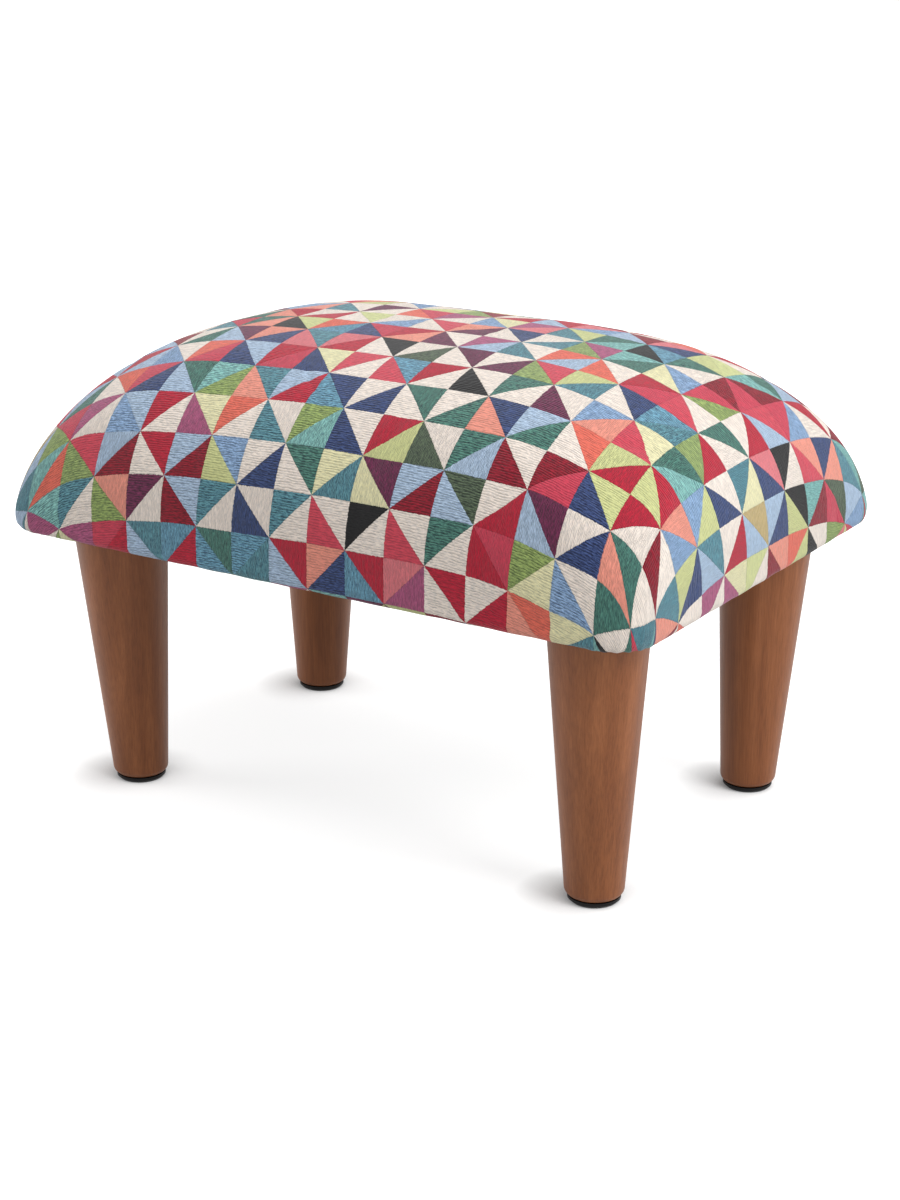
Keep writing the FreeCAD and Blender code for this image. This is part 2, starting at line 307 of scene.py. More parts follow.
    def patches(self, tree: Tree, cloth: Source) -> tuple[Node, Node, Node]:
        """Works out each triangle's yarns and how near a place is to its edges.

        A square's diagonal rises where column and row add up to an even number and falls elsewhere,
        so eight triangles meet at every second corner. A triangle's class is the parity of its row,
        its side of the diagonal and the square's own parity, which no two neighbours share.

        Args:
            tree: the material's node tree.
            cloth: the cloth coordinates.

        Returns:
            The yarn colour, a value that is 1 on a join between patches, and one that is 1 where a
            patch's ribs run the other way.
        """
        moved = self.shift(tree, cloth, self.wander_rate / self.cell_u, 2 * self.edge_wander)
        moved = self.shift(tree, moved, 1 / self.rib_spacing, self.step_share * self.rib_spacing)
        flat_u, flat_v, _ = add_node(tree, "SeparateXYZ", moved).outputs
        straight_v = add_node(tree, "Math", flat_u, -self.skew, flat_v, operation="MULTIPLY_ADD")
        across = add_node(tree, "Math", flat_u, self.start_u, operation="SUBTRACT")
        across = add_node(tree, "Math", across, self.cell_u, operation="DIVIDE")
        along = add_node(tree, "Math", straight_v, self.start_v, operation="SUBTRACT")
        along = add_node(tree, "Math", along, self.cell_v, operation="DIVIDE")
        column = add_node(tree, "Math", across, operation="FLOOR")
        row = add_node(tree, "Math", along, operation="FLOOR")
        part_u = add_node(tree, "Math", across, operation="FRACT")
        part_v = add_node(tree, "Math", along, operation="FRACT")

        odd = add_node(tree, "Math", column, row, operation="ADD")
        odd = add_node(tree, "Math", odd, 2.0, operation="FLOORED_MODULO")
        odd = add_node(tree, "Math", odd, 0.5, operation="GREATER_THAN")
        from_rising = add_node(tree, "Math", part_v, part_u, operation="SUBTRACT")
        both_parts = add_node(tree, "Math", part_u, part_v, operation="ADD")
        from_falling = add_node(tree, "Math", both_parts, 1.0, operation="SUBTRACT")
        diagonal = add_node(tree, "Mix", odd, from_rising, from_falling, data_type="FLOAT")
        side = add_node(tree, "Math", diagonal, 0.0, operation="GREATER_THAN")

        patch = add_node(tree, "CombineXYZ", column, row, side)
        lot = add_node(tree, "TexWhiteNoise", patch, noise_dimensions="3D")
        picks = add_node(tree, "SeparateColor", lot.outputs["Color"]).outputs
        pale_class = add_node(tree, "Math", row, side, operation="ADD")
        pale_class = add_node(tree, "Math", pale_class, odd, operation="ADD")
        pale_class = add_node(tree, "Math", pale_class, 2.0, operation="FLOORED_MODULO")
        pale_class = add_node(tree, "Math", pale_class, 0.5, operation="GREATER_THAN")
        pale = add_node(tree, "ValToRGB", lot, stops=self.pale_yarns, steady=True)
        deep = add_node(tree, "ValToRGB", lot, stops=self.deep_yarns, steady=True)
        main = add_node(tree, "Mix", pale_class, deep, pale, data_type="RGBA")

        other = add_node(tree, "ValToRGB", picks[0], stops=self.deep_yarns, steady=True)
        rates = (self.blend_rates[0] / self.cell_u, self.blend_rates[1] / self.cell_v, 1.0)
        zone = stretched_noise(tree, cloth, rates, detail=1.0)
        zone = add_node(tree, "MapRange", zone, *self.blend_band, interpolation_type="SMOOTHSTEP")
        mixed = add_node(tree, "Math", picks[1], 1 - self.mixed_share, operation="GREATER_THAN")
        deep_class = add_node(tree, "Math", 1.0, pale_class, operation="SUBTRACT")
        mixed = add_node(tree, "Math", mixed, deep_class, operation="MULTIPLY")
        zone = add_node(tree, "Math", zone, mixed, operation="MULTIPLY")
        base = add_node(tree, "Mix", zone, main, other, data_type="RGBA")

        near = []
        for part in (part_u, part_v):
            left = add_node(tree, "Math", 1.0, part, operation="SUBTRACT")
            near.append(add_node(tree, "Math", part, left, operation="MINIMUM"))
        near_diagonal = add_node(tree, "Math", diagonal, operation="ABSOLUTE")
        near_diagonal = add_node(tree, "Math", near_diagonal, self.diagonal_reach, operation="MULTIPLY")
        nearest = add_node(tree, "Math", *near, operation="MINIMUM")
        nearest = add_node(tree, "Math", nearest, near_diagonal, operation="MINIMUM")
        width = self.join_width / self.cell_u
        join = add_node(tree, "MapRange", nearest, 0.0, width, 1.0, 0.0, interpolation_type="SMOOTHSTEP")
        turned = add_node(tree, "Math", picks[2], 1 - self.turned_share, operation="GREATER_THAN")
        return base, join, turned

    def weave(
        self, tree: Tree, cloth: Source, base: Source, join: Source, turned: Source
    ) -> tuple[Node, Node]:
        """Lays ribs, specks, joins and painted shade in the rib furrows over the yarn colours. Where the ends
        pull it tight the ribs flatten.

        Ribs are a sine across the cloth whose phase drifts, and slubs thin them out. Threads are a
        finer noise, long one way, that lets light and dark specks through.

        Args:
            tree: the material's node tree.
            cloth: the cloth coordinates.
            base: the yarn colour.
            join: 1 on the joins between patches.
            turned: 1 where a patch's ribs run the other way.

        Returns:
            The colour and the height.
        """
        flat_u, flat_v, _ = add_node(tree, "SeparateXYZ", cloth).outputs
        fine = add_node(tree, "Math", flat_u, self.turned_fineness, operation="MULTIPLY")
        lengthwise = add_node(tree, "CombineXYZ", flat_v, fine)
        lay = add_node(tree, "Mix", turned, cloth, lengthwise, data_type="VECTOR")
        lay_v = add_node(tree, "SeparateXYZ", lay).outputs["Y"]

        drift = stretched_noise(tree, lay, (1 / self.slub_length, self.drift_rate / self.rib_spacing, 1.0))
        drift = add_node(tree, "Math", drift, self.rib_drift, operation="MULTIPLY")
        phase = add_node(tree, "Math", lay_v, 1 / self.rib_spacing, drift, operation="MULTIPLY_ADD")
        wave = add_node(tree, "Math", phase, TURN, operation="MULTIPLY")
        wave = add_node(tree, "Math", wave, operation="SINE")
        rates = (self.slub_rates[0] / self.slub_length, self.slub_rates[1] / self.rib_spacing, 1.0)
        slubs = add_node(tree, "MapRange", stretched_noise(tree, lay, rates), *self.slub_band)
        ribs = add_node(tree, "Math", wave, slubs, operation="MULTIPLY")
        ribs = add_node(tree, "Math", ribs, 0.5, 0.5, operation="MULTIPLY_ADD")
        rates = (1 / self.thread_length, 1 / self.thread_width, 1.0)
        threads = stretched_noise(tree, lay, rates, roughness=self.thread_roughness)

        red = add_node(tree, "SeparateColor", base)
        contrast = add_node(tree, "MapRange", red, *self.red_band, 1.0, self.pale_contrast)
        from_middle = add_node(tree, "Math", flat_u, operation="ABSOLUTE")
        tight = add_node(
            tree, "MapRange", from_middle, *self.tight_band, 1.0, self.tight_contrast,
            interpolation_type="SMOOTHSTEP",
        )
        contrast = add_node(tree, "Math", contrast, tight, operation="MULTIPLY")
        dark = add_node(tree, "Mix", 1.0, base, self.shaded_tint, data_type="RGBA", blend_type="MULTIPLY")
        light = add_node(tree, "Mix", 1.0, base, self.worn_tint, data_type="RGBA", blend_type="MULTIPLY")
        speck = add_node(tree, "MapRange", threads, *self.speck_band, interpolation_type="SMOOTHSTEP")
        specks = add_node(tree, "Mix", speck, dark, light, data_type="RGBA")
        colour = add_node(tree, "Mix", contrast, base, specks, data_type="RGBA")

        # Painted shade in the rib furrows, multiplied into the colour together with the darker joins between
        # patches.
        painted_groove_shade = add_node(
            tree, "MapRange", ribs, *self.furrow_shade_band, self.painted_furrow_shade, 0.0, interpolation_type="SMOOTHSTEP"
        )
        reach = add_node(tree, "Math", tight, self.furrow_shade_everywhere, operation="MULTIPLY")
        reach = add_node(tree, "Math", contrast, self.furrow_shade_by_contrast, reach, operation="MULTIPLY_ADD")
        painted_groove_shade = add_node(tree, "Math", painted_groove_shade, reach, operation="MULTIPLY")
        lit = add_node(tree, "Math", 1.0, painted_groove_shade, operation="SUBTRACT")
        stitched = add_node(tree, "Math", join, slubs, operation="MULTIPLY")
        stitched = add_node(tree, "Math", stitched, self.join_shade, 1.0, operation="MULTIPLY_ADD")
        furrow_shade_and_joins = add_node(tree, "Math", lit, stitched, operation="MULTIPLY")
        furrow_shade_and_joins = add_node(tree, "CombineXYZ", furrow_shade_and_joins, furrow_shade_and_joins, furrow_shade_and_joins)
        colour = add_node(tree, "Mix", 1.0, colour, furrow_shade_and_joins, data_type="RGBA", blend_type="MULTIPLY")

        height = add_node(tree, "Math", threads, self.thread_height, ribs, operation="MULTIPLY_ADD")
        height = add_node(tree, "Math", join, self.join_height, height, operation="MULTIPLY_ADD")
        return colour, height


@dataclass(frozen=True)
class StainedBeech:
    """Turned beech with a walnut stain and a satin lacquer, whose grain runs down the leg.

    The stain gathers in the pores, so the eye sees fine dark streaks, broad soft bands and a dull
    highlight down each side.
    """

    name: str = "walnut_stained_beech"
    pore: float = 0.7 * MM
    band: float = 7.0 * MM
    pore_stretch: float = 85.0
    pore_roughness: float = 0.65
    band_stretch: float = 85.0 / 3
    stain: tuple[tuple[float, str], ...] = ((0.25, "#814823"), (0.50, "#91552D"), (0.78, "#A5653B"))
    streak_band: tuple[float, float] = (0.34, 0.60)
    streak_shades: tuple[float, float] = (0.77, 1.05)
    gloss_range: tuple[float, float] = (0.54, 0.40)
    specular: float = 0.38
    relief: float = 0.08 * MM
    relief_strength: float = 0.5

    def build(self) -> bpy.types.Material:
        """Builds the material on object coordinates.

        Returns:
            The material.
        """
        material, tree = new_material(self.name)
        place = add_node(tree, "TexCoord").outputs["Object"]
        rates = (1 / self.band, 1 / self.band, 1 / (self.band * self.band_stretch))
        bands = stretched_noise(tree, place, rates, detail=3.0)
        rates = (1 / self.pore, 1 / self.pore, 1 / (self.pore * self.pore_stretch))
        pores = stretched_noise(tree, place, rates, detail=4.0, roughness=self.pore_roughness)
        stain = add_node(tree, "ValToRGB", bands, stops=self.stain)
        streak = add_node(tree, "MapRange", pores, *self.streak_band, *self.streak_shades)
        streak = add_node(tree, "CombineXYZ", streak, streak, streak)
        colour = add_node(tree, "Mix", 1.0, stain, streak, data_type="RGBA", blend_type="MULTIPLY")
        gloss = add_node(tree, "MapRange", pores, 0.0, 1.0, *self.gloss_range)
        finish_surface(
            tree, pores, self.relief_strength, self.relief,
            Base_Color=colour, Roughness=gloss, Specular_IOR_Level=self.specular,
        )
        return material


@dataclass(frozen=True)
class RoughFinish:
    """A plain worked surface of one stuff: two tones, a grain size, a relief and a gloss.

    It serves what is mostly out of sight: sawn birch, polyurethane foam, polyester wadding, zinc
    plated steel and moulded nylon.
    """

    name: str
    tones: tuple[str, str]
    grain: tuple[float, float, float]
    relief: float
    roughness: float
    metallic: float = 0.0
    sheen: float = 0.0
    specular: float = 0.5
    unevenness: float = 0.07
    grain_roughness: float = 0.6
    tone_places: tuple[float, float] = (0.32, 0.68)
    relief_strength: float = 0.6

    def build(self) -> bpy.types.Material:
        """Builds the material on object coordinates.

        Returns:
            The material.
        """
        material, tree = new_material(self.name)
        place = add_node(tree, "TexCoord").outputs["Object"]
        rates = [1 / size for size in self.grain]
        grain = stretched_noise(tree, place, rates, detail=4.0, roughness=self.grain_roughness)
        colour = add_node(tree, "ValToRGB", grain, stops=tuple(zip(self.tone_places, self.tones)))
        smooth, rough = self.roughness - self.unevenness, self.roughness + self.unevenness
        gloss = add_node(tree, "MapRange", grain, 0.0, 1.0, smooth, rough)
        finish_surface(
            tree, grain, self.relief_strength, self.relief,
            Base_Color=colour, Roughness=gloss, Metallic=self.metallic,
            Specular_IOR_Level=self.specular, Sheen_Weight=self.sheen,
        )
        return material


class Stuff(Enum):
    """The finishes of the pieces that are mostly out of sight."""

    BIRCH = RoughFinish(
        "sawn_birch", ("#B98F5C", "#DDBB8A"), (1.2 * MM, 40 * MM, 1.2 * MM), 0.1 * MM, 0.7
    )
    PLYWOOD = RoughFinish(
        "birch_plywood", ("#C29A68", "#E2C697"), (30 * MM, 2.5 * MM, 0.8 * MM), 0.08 * MM, 0.62
    )
    FOAM = RoughFinish(
        "polyurethane_foam", ("#DDCB8D", "#F1E5B8"), (0.9 * MM, 0.9 * MM, 0.9 * MM), 0.3 * MM, 0.92
    )
    WADDING = RoughFinish(
        "polyester_wadding", ("#E4E4E0", "#F6F6F3"), (5 * MM, 5 * MM, 2 * MM), 0.8 * MM, 0.95, sheen=0.3
    )
    ZINC = RoughFinish(
        "zinc_plated_steel", ("#9C9FA3", "#C3C5C7"), (0.8 * MM, 0.8 * MM, 3 * MM), 0.02 * MM, 0.34, 1.0
    )
    NYLON = RoughFinish(
        "moulded_nylon", ("#0B0A0B", "#161415"), (0.6 * MM, 0.6 * MM, 0.6 * MM), 0.04 * MM, 0.45, specular=0.2
    )


@dataclass(frozen=True)
class Cambric:
    """Black spun-bonded cambric: thin, slightly shiny fibres pressed flat with a fine dimple grid."""

    dimple: float = 1.6 * MM
    dimple_scatter: float = 0.15
    fibre_length: float = 2.5 * MM
    fibre_width: float = 2.0 / 3 * MM
    fibre_height: float = 0.5
    fibre_roughness: float = 0.7
    tones: tuple[tuple[float, str], ...] = ((0.35, "#141416"), (0.7, "#26272A"))
    roughness: float = 0.8
    sheen: float = 0.15
    relief: float = 0.15 * MM
    relief_strength: float = 0.6

    def build(self) -> bpy.types.Material:
        """Builds the material on object coordinates.

        Returns:
            The material.
        """
        material, tree = new_material("black_cambric")
        place = add_node(tree, "TexCoord").outputs["Object"]
        rates = (1 / self.fibre_length, 1 / self.fibre_width, 1 / self.fibre_length)
        fibres = stretched_noise(tree, place, rates, detail=4.0, roughness=self.fibre_roughness)
        colour = add_node(tree, "ValToRGB", fibres, stops=self.tones)
        dots = add_node(
            tree, "TexVoronoi", feature="F1", voronoi_dimensions="2D",
            Vector=place, Scale=1 / self.dimple, Randomness=self.dimple_scatter,
        )
        height = add_node(tree, "Math", fibres, self.fibre_height, dots, operation="MULTIPLY_ADD")
        finish_surface(
            tree, height, self.relief_strength, self.relief,
            Base_Color=colour, Roughness=self.roughness, Sheen_Weight=self.sheen,
        )
        return material


def make_mesh(
    name: str, points: np.ndarray, faces: np.ndarray, loop_uv: np.ndarray | None = None
) -> bpy.types.Object:
    """Makes a mesh object at the origin from arrays.

    Args:
        name: the piece's name.
        points: n by 3 places.
        faces: m by 4 vertex numbers. A triangle repeats its last vertex.
        loop_uv: cloth coordinates of every face corner, m by 4 by 2, if the piece has any.

    Returns:
        The new object, smooth shaded.
    """
    triangle = faces[:, 2] == faces[:, 3]
    counts = np.where(triangle, 3, 4)
    keep = np.ones(faces.shape, bool)
    keep[triangle, 3] = False
    loops = faces[keep]
    mesh = bpy.data.meshes.new(name)
    mesh.vertices.add(len(points))
    mesh.vertices.foreach_set("co", np.ascontiguousarray(points, np.float32).ravel())
    mesh.loops.add(len(loops))
    mesh.loops.foreach_set("vertex_index", loops.astype(np.int32))
    mesh.polygons.add(len(faces))
    starts = np.concatenate([[0], np.cumsum(counts)[:-1]])
    mesh.polygons.foreach_set("loop_start", starts.astype(np.int32))
    mesh.polygons.foreach_set("loop_total", counts.astype(np.int32))
    mesh.polygons.foreach_set("use_smooth", np.ones(len(faces), bool))
    mesh.update(calc_edges=True)
    if loop_uv is not None:
        layer = mesh.uv_layers.new(name="cloth")
        layer.data.foreach_set("uv", np.ascontiguousarray(loop_uv[keep], np.float32).ravel())
    mesh.validate()
    piece = bpy.data.objects.new(name, mesh)
    bpy.context.scene.collection.objects.link(piece)
    return piece


def ring_faces(rings: int, columns: int, first: int = 0, closed: bool = True) -> np.ndarray:
    """Quads between rings of points that follow each other, each ring closing on itself.

    Args:
        rings: how many rings.
        columns: points in a ring.
        first: the number of the first point.
        closed: each ring's last point meets its first.

    Returns:
        Faces, four point numbers each.
    """
    spans = columns if closed else columns - 1
    ring, column = np.meshgrid(np.arange(rings - 1), np.arange(spans), indexing="ij")
    following = (column + 1) % columns
    here, below = first + ring * columns, first + (ring + 1) * columns
    quads = np.stack([here + column, here + following, below + following, below + column], -1)
    return quads.reshape(-1, 4)


def raised(plan: np.ndarray, heights: np.ndarray) -> np.ndarray:
    """Puts each ring of a plan at its own height."""
    levels = np.broadcast_to(heights[:, None, None], (len(plan), plan.shape[1], 1))
    return np.concatenate([plan, levels], -1)


def closed_shell(
    name: str,
    rings: np.ndarray,
    start: Sequence[float],
    end: Sequence[float],
    cloth: np.ndarray | None = None,
) -> bpy.types.Object:
    """Makes a closed piece from rings with a point at either end.

    Normals face outward where the rings rise and each runs anticlockwise from above. Rings that go
    on down the inside of a shell keep that turn.

    Args:
        name: the piece's name.
        rings: places by ring and column.
        start: the point that closes the first ring.
        end: the point that closes the last ring.
        cloth: cloth coordinates by ring and column, if the piece has any.

    Returns:
        The new object.
    """
    count = rings.shape[1]
    points = np.concatenate([[start], rings.reshape(-1, 3), [end]])
    fan = np.arange(count)
    follow = (fan + 1) % count
    last = 1 + (len(rings) - 1) * count
    first_fan = np.stack([0 * fan, 1 + follow, 1 + fan, 1 + fan], -1)
    last_fan = np.stack([0 * fan + len(points) - 1, last + fan, last + follow, last + follow], -1)
    faces = np.concatenate([first_fan, ring_faces(len(rings), count, first=1), last_fan])
    if cloth is None:
        return make_mesh(name, points, faces)
    flat = np.concatenate([[[0.0, 0.0]], cloth.reshape(-1, 2), [[0.0, 0.0]]])
    return make_mesh(name, points, faces, flat[faces])


def dress(piece: bpy.types.Object, material: bpy.types.Material, body: str, slot: str, *nodes: str) -> None:
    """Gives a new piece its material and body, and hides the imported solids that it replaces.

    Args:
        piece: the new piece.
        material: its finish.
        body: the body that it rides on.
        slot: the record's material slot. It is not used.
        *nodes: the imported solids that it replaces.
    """
    piece.data.materials.append(material)
    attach(piece, body)
    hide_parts(*nodes)
    LOG.info("%s: %d faces", piece.name, len(piece.data.polygons))


def smooth_step(value: np.ndarray, low: float, high: float) -> np.ndarray:
    """Rises from 0 at low to 1 at high along the curve 3s squared less 2s cubed."""
    share = np.clip((value - low) / (high - low), 0, 1)
    return share * share * (3 - 2 * share)


@dataclass(frozen=True)
class SeatForm:
    """The seat's outer form, as level outlines that shrink and round off towards the crown.

    At a share t of the crown's rise the half length is a (1 - t^(1/fall_x))^(1/power_x), and the half
    depth is alike. Each outline is four bowed sides joined by corner arcs that touch them smoothly.
    """

    half_x: float
    half_y: float
    bottom: float
    belt: float
    rise: float
    draw_in: float = 4.7 * MM
    corner: float = 22.0 * MM
    power_x: float = 3.66
    power_y: float = 2.80
    fall_x: float = 0.38
    fall_y: float = 0.40
    corner_share: float = 0.86
    corner_power: float = 1.6
    bow_short: float = 0.20
    bow_long: float = 0.085
    bow_short_power: float = 2.0
    bow_long_power: float = 1.5
    bow_least: float = 0.4 * MM
    least_corner_share: float = 0.25
    side_points: int = 44
    corner_points: int = 44
    front_points: int = 60

    @property
    def quarter(self) -> int:
        """Spans in a quarter of an outline."""
        return self.side_points + self.corner_points + self.front_points

    @property
    def columns(self) -> int:
        """Points in an outline."""
        return 4 * self.quarter

    def inset(self, depth: float) -> "SeatForm":
        """The same form drawn in evenly, with its lower edge raised as much.

        Args:
            depth: how far it is drawn in.

        Returns:
            The smaller form.
        """
        return replace(
            self,
            half_x=self.half_x - depth,
            half_y=self.half_y - depth,
            bottom=self.bottom + depth,
            rise=self.rise - depth,
            corner=max(self.corner - depth, self.corner * self.least_corner_share),
        )

    def crown_share(self, x: np.ndarray, y: np.ndarray) -> tuple[np.ndarray, np.ndarray]:
        """How much of the rise is left along each axis at a place over the floor plan.

        Args:
            x: places along the length.
            y: places along the depth.

        Returns:
            (1 - |x / half_x|^power_x)^fall_x and the same for y.
        """
        fall_x = (1 - np.clip(np.abs(x) / self.half_x, 0, 1) ** self.power_x) ** self.fall_x
        fall_y = (1 - np.clip(np.abs(y) / self.half_y, 0, 1) ** self.power_y) ** self.fall_y
        return fall_x, fall_y

    def level_sizes(self, t: np.ndarray) -> tuple[np.ndarray, ...]:
        """Sizes of the outlines at shares of the rise.

        Args:
            t: the shares.

        Returns:
            Half length, half depth, corner radius, and the bows of the short and the long sides.
        """
        half_x = self.half_x * (1 - t ** (1 / self.fall_x)) ** (1 / self.power_x)
        half_y = self.half_y * (1 - t ** (1 / self.fall_y)) ** (1 / self.power_y)
        corner = self.corner * (1 - t) + self.corner_share * half_y * t ** self.corner_power
        bow_x = self.bow_least + self.bow_short * half_y * t ** self.bow_short_power
        bow_y = self.bow_least + self.bow_long * half_x * t ** self.bow_long_power
        return half_x, half_y, corner, bow_x, bow_y

    def outlines(self, *sizes: np.ndarray) -> np.ndarray:
        """Points of many outlines at once.

        A side is an arc of radius half^2 / 2 bow + bow / 2. The corner arc's centre lies at both
        side radii less its own from the two side centres, which is where two circles cross.

        Args:
            *sizes: half lengths, half depths, corner radii, and how far the short and the long
                sides bow out, with one value of each for each outline.

        Returns:
            Outlines by columns by 2, anticlockwise from the middle of the right side.
        """
        half_x, half_y, corner, bow_x, bow_y = (np.asarray(size, float)[:, None] for size in sizes)
        radius_x = half_y ** 2 / (2 * bow_x) + bow_x / 2
        radius_y = half_x ** 2 / (2 * bow_y) + bow_y / 2
        side_x, side_y = half_x - radius_x, half_y - radius_y
        reach_x, reach_y = radius_x - corner, radius_y - corner
        apart = np.hypot(side_x, side_y)
        along = (reach_x ** 2 - reach_y ** 2 + apart ** 2) / (2 * apart)
        across = np.sqrt(np.maximum(reach_x ** 2 - along ** 2, 0))
        unit_x, unit_y = -side_x / apart, side_y / apart
        centre_x = side_x + unit_x * along - unit_y * across
        centre_y = unit_y * along + unit_x * across
        wrong = (centre_x < 0) | (centre_y < 0)
        centre_x = np.where(wrong, side_x + unit_x * along + unit_y * across, centre_x)
        centre_y = np.where(wrong, unit_y * along - unit_x * across, centre_y)
        turn_x = np.arctan2(centre_y, centre_x - side_x)
        turn_y = np.arctan2(centre_y - side_y, centre_x)
        share_side = np.linspace(0, 1, self.side_points + 1)[None, :-1]
        share_corner = np.linspace(0, 1, self.corner_points + 1)[None, :-1]
        share_front = np.linspace(0, 1, self.front_points + 1)[None, :]
        angle = turn_x * share_side
        side = np.stack([side_x + radius_x * np.cos(angle), radius_x * np.sin(angle)], -1)
        angle = turn_x + (turn_y - turn_x) * share_corner
        bend = np.stack([centre_x + corner * np.cos(angle), centre_y + corner * np.sin(angle)], -1)
        angle = turn_y + (math.pi / 2 - turn_y) * share_front
        front = np.stack([radius_y * np.cos(angle), side_y + radius_y * np.sin(angle)], -1)
        quarter = np.concatenate([side, bend, front], 1)
        back = quarter[:, ::-1] * (-1, 1)
        return np.concatenate([quarter[:, :-1], back[:, :-1], -quarter[:, :-1], -back[:, :-1]], 1)


@dataclass(frozen=True)
class Wave:
    """A slow swell of slack cloth: a height times two sines.

    The height is in millimetres. Each sine holds its radians to a metre along x and y and its phase.
    """

    height: float
    sines: tuple[tuple[float, float, float], ...]

    def at(self, x: np.ndarray, y: np.ndarray) -> np.ndarray:
        """The swell's height at each place."""
        first, second = (np.sin(rate_x * x + rate_y * y + phase) for rate_x, rate_y, phase in self.sines)
        return self.height * first * second


@dataclass(frozen=True)
class Crease:
    """A soft groove through a place on the seat's plan.

    The place is in half lengths and half depths. A crease at an end runs at an angle to the length,
    in radians, and one on a long side leans by a slope from the depth.
    """

    place: tuple[float, float]
    lean: float
    width: float
    share: float
    end_from: float = 0.7
    reach: float = 26 * MM

    def at(self, x: np.ndarray, y: np.ndarray, form: SeatForm) -> np.ndarray:
        """How deep the groove is, as a share of the full depth.

        It is exp(-(off / width)^2), where off is the distance from its line, and it dies out from
        its place as exp(-(distance / reach)^2).

        Args:
            x: places along the length.
            y: places along the depth.
            form: the seat's form.

        Returns:
            The share at each place.
        """
        dx, dy = x - self.place[0] * form.half_x, y - self.place[1] * form.half_y
        at_end = abs(self.place[0]) > self.end_from
        off = dx * math.sin(self.lean) - dy * math.cos(self.lean) if at_end else dx + dy * self.lean
        fade = np.exp(-((dx ** 2 + dy ** 2) / self.reach ** 2))
        return self.share * np.exp(-(off / self.width) ** 2) * fade


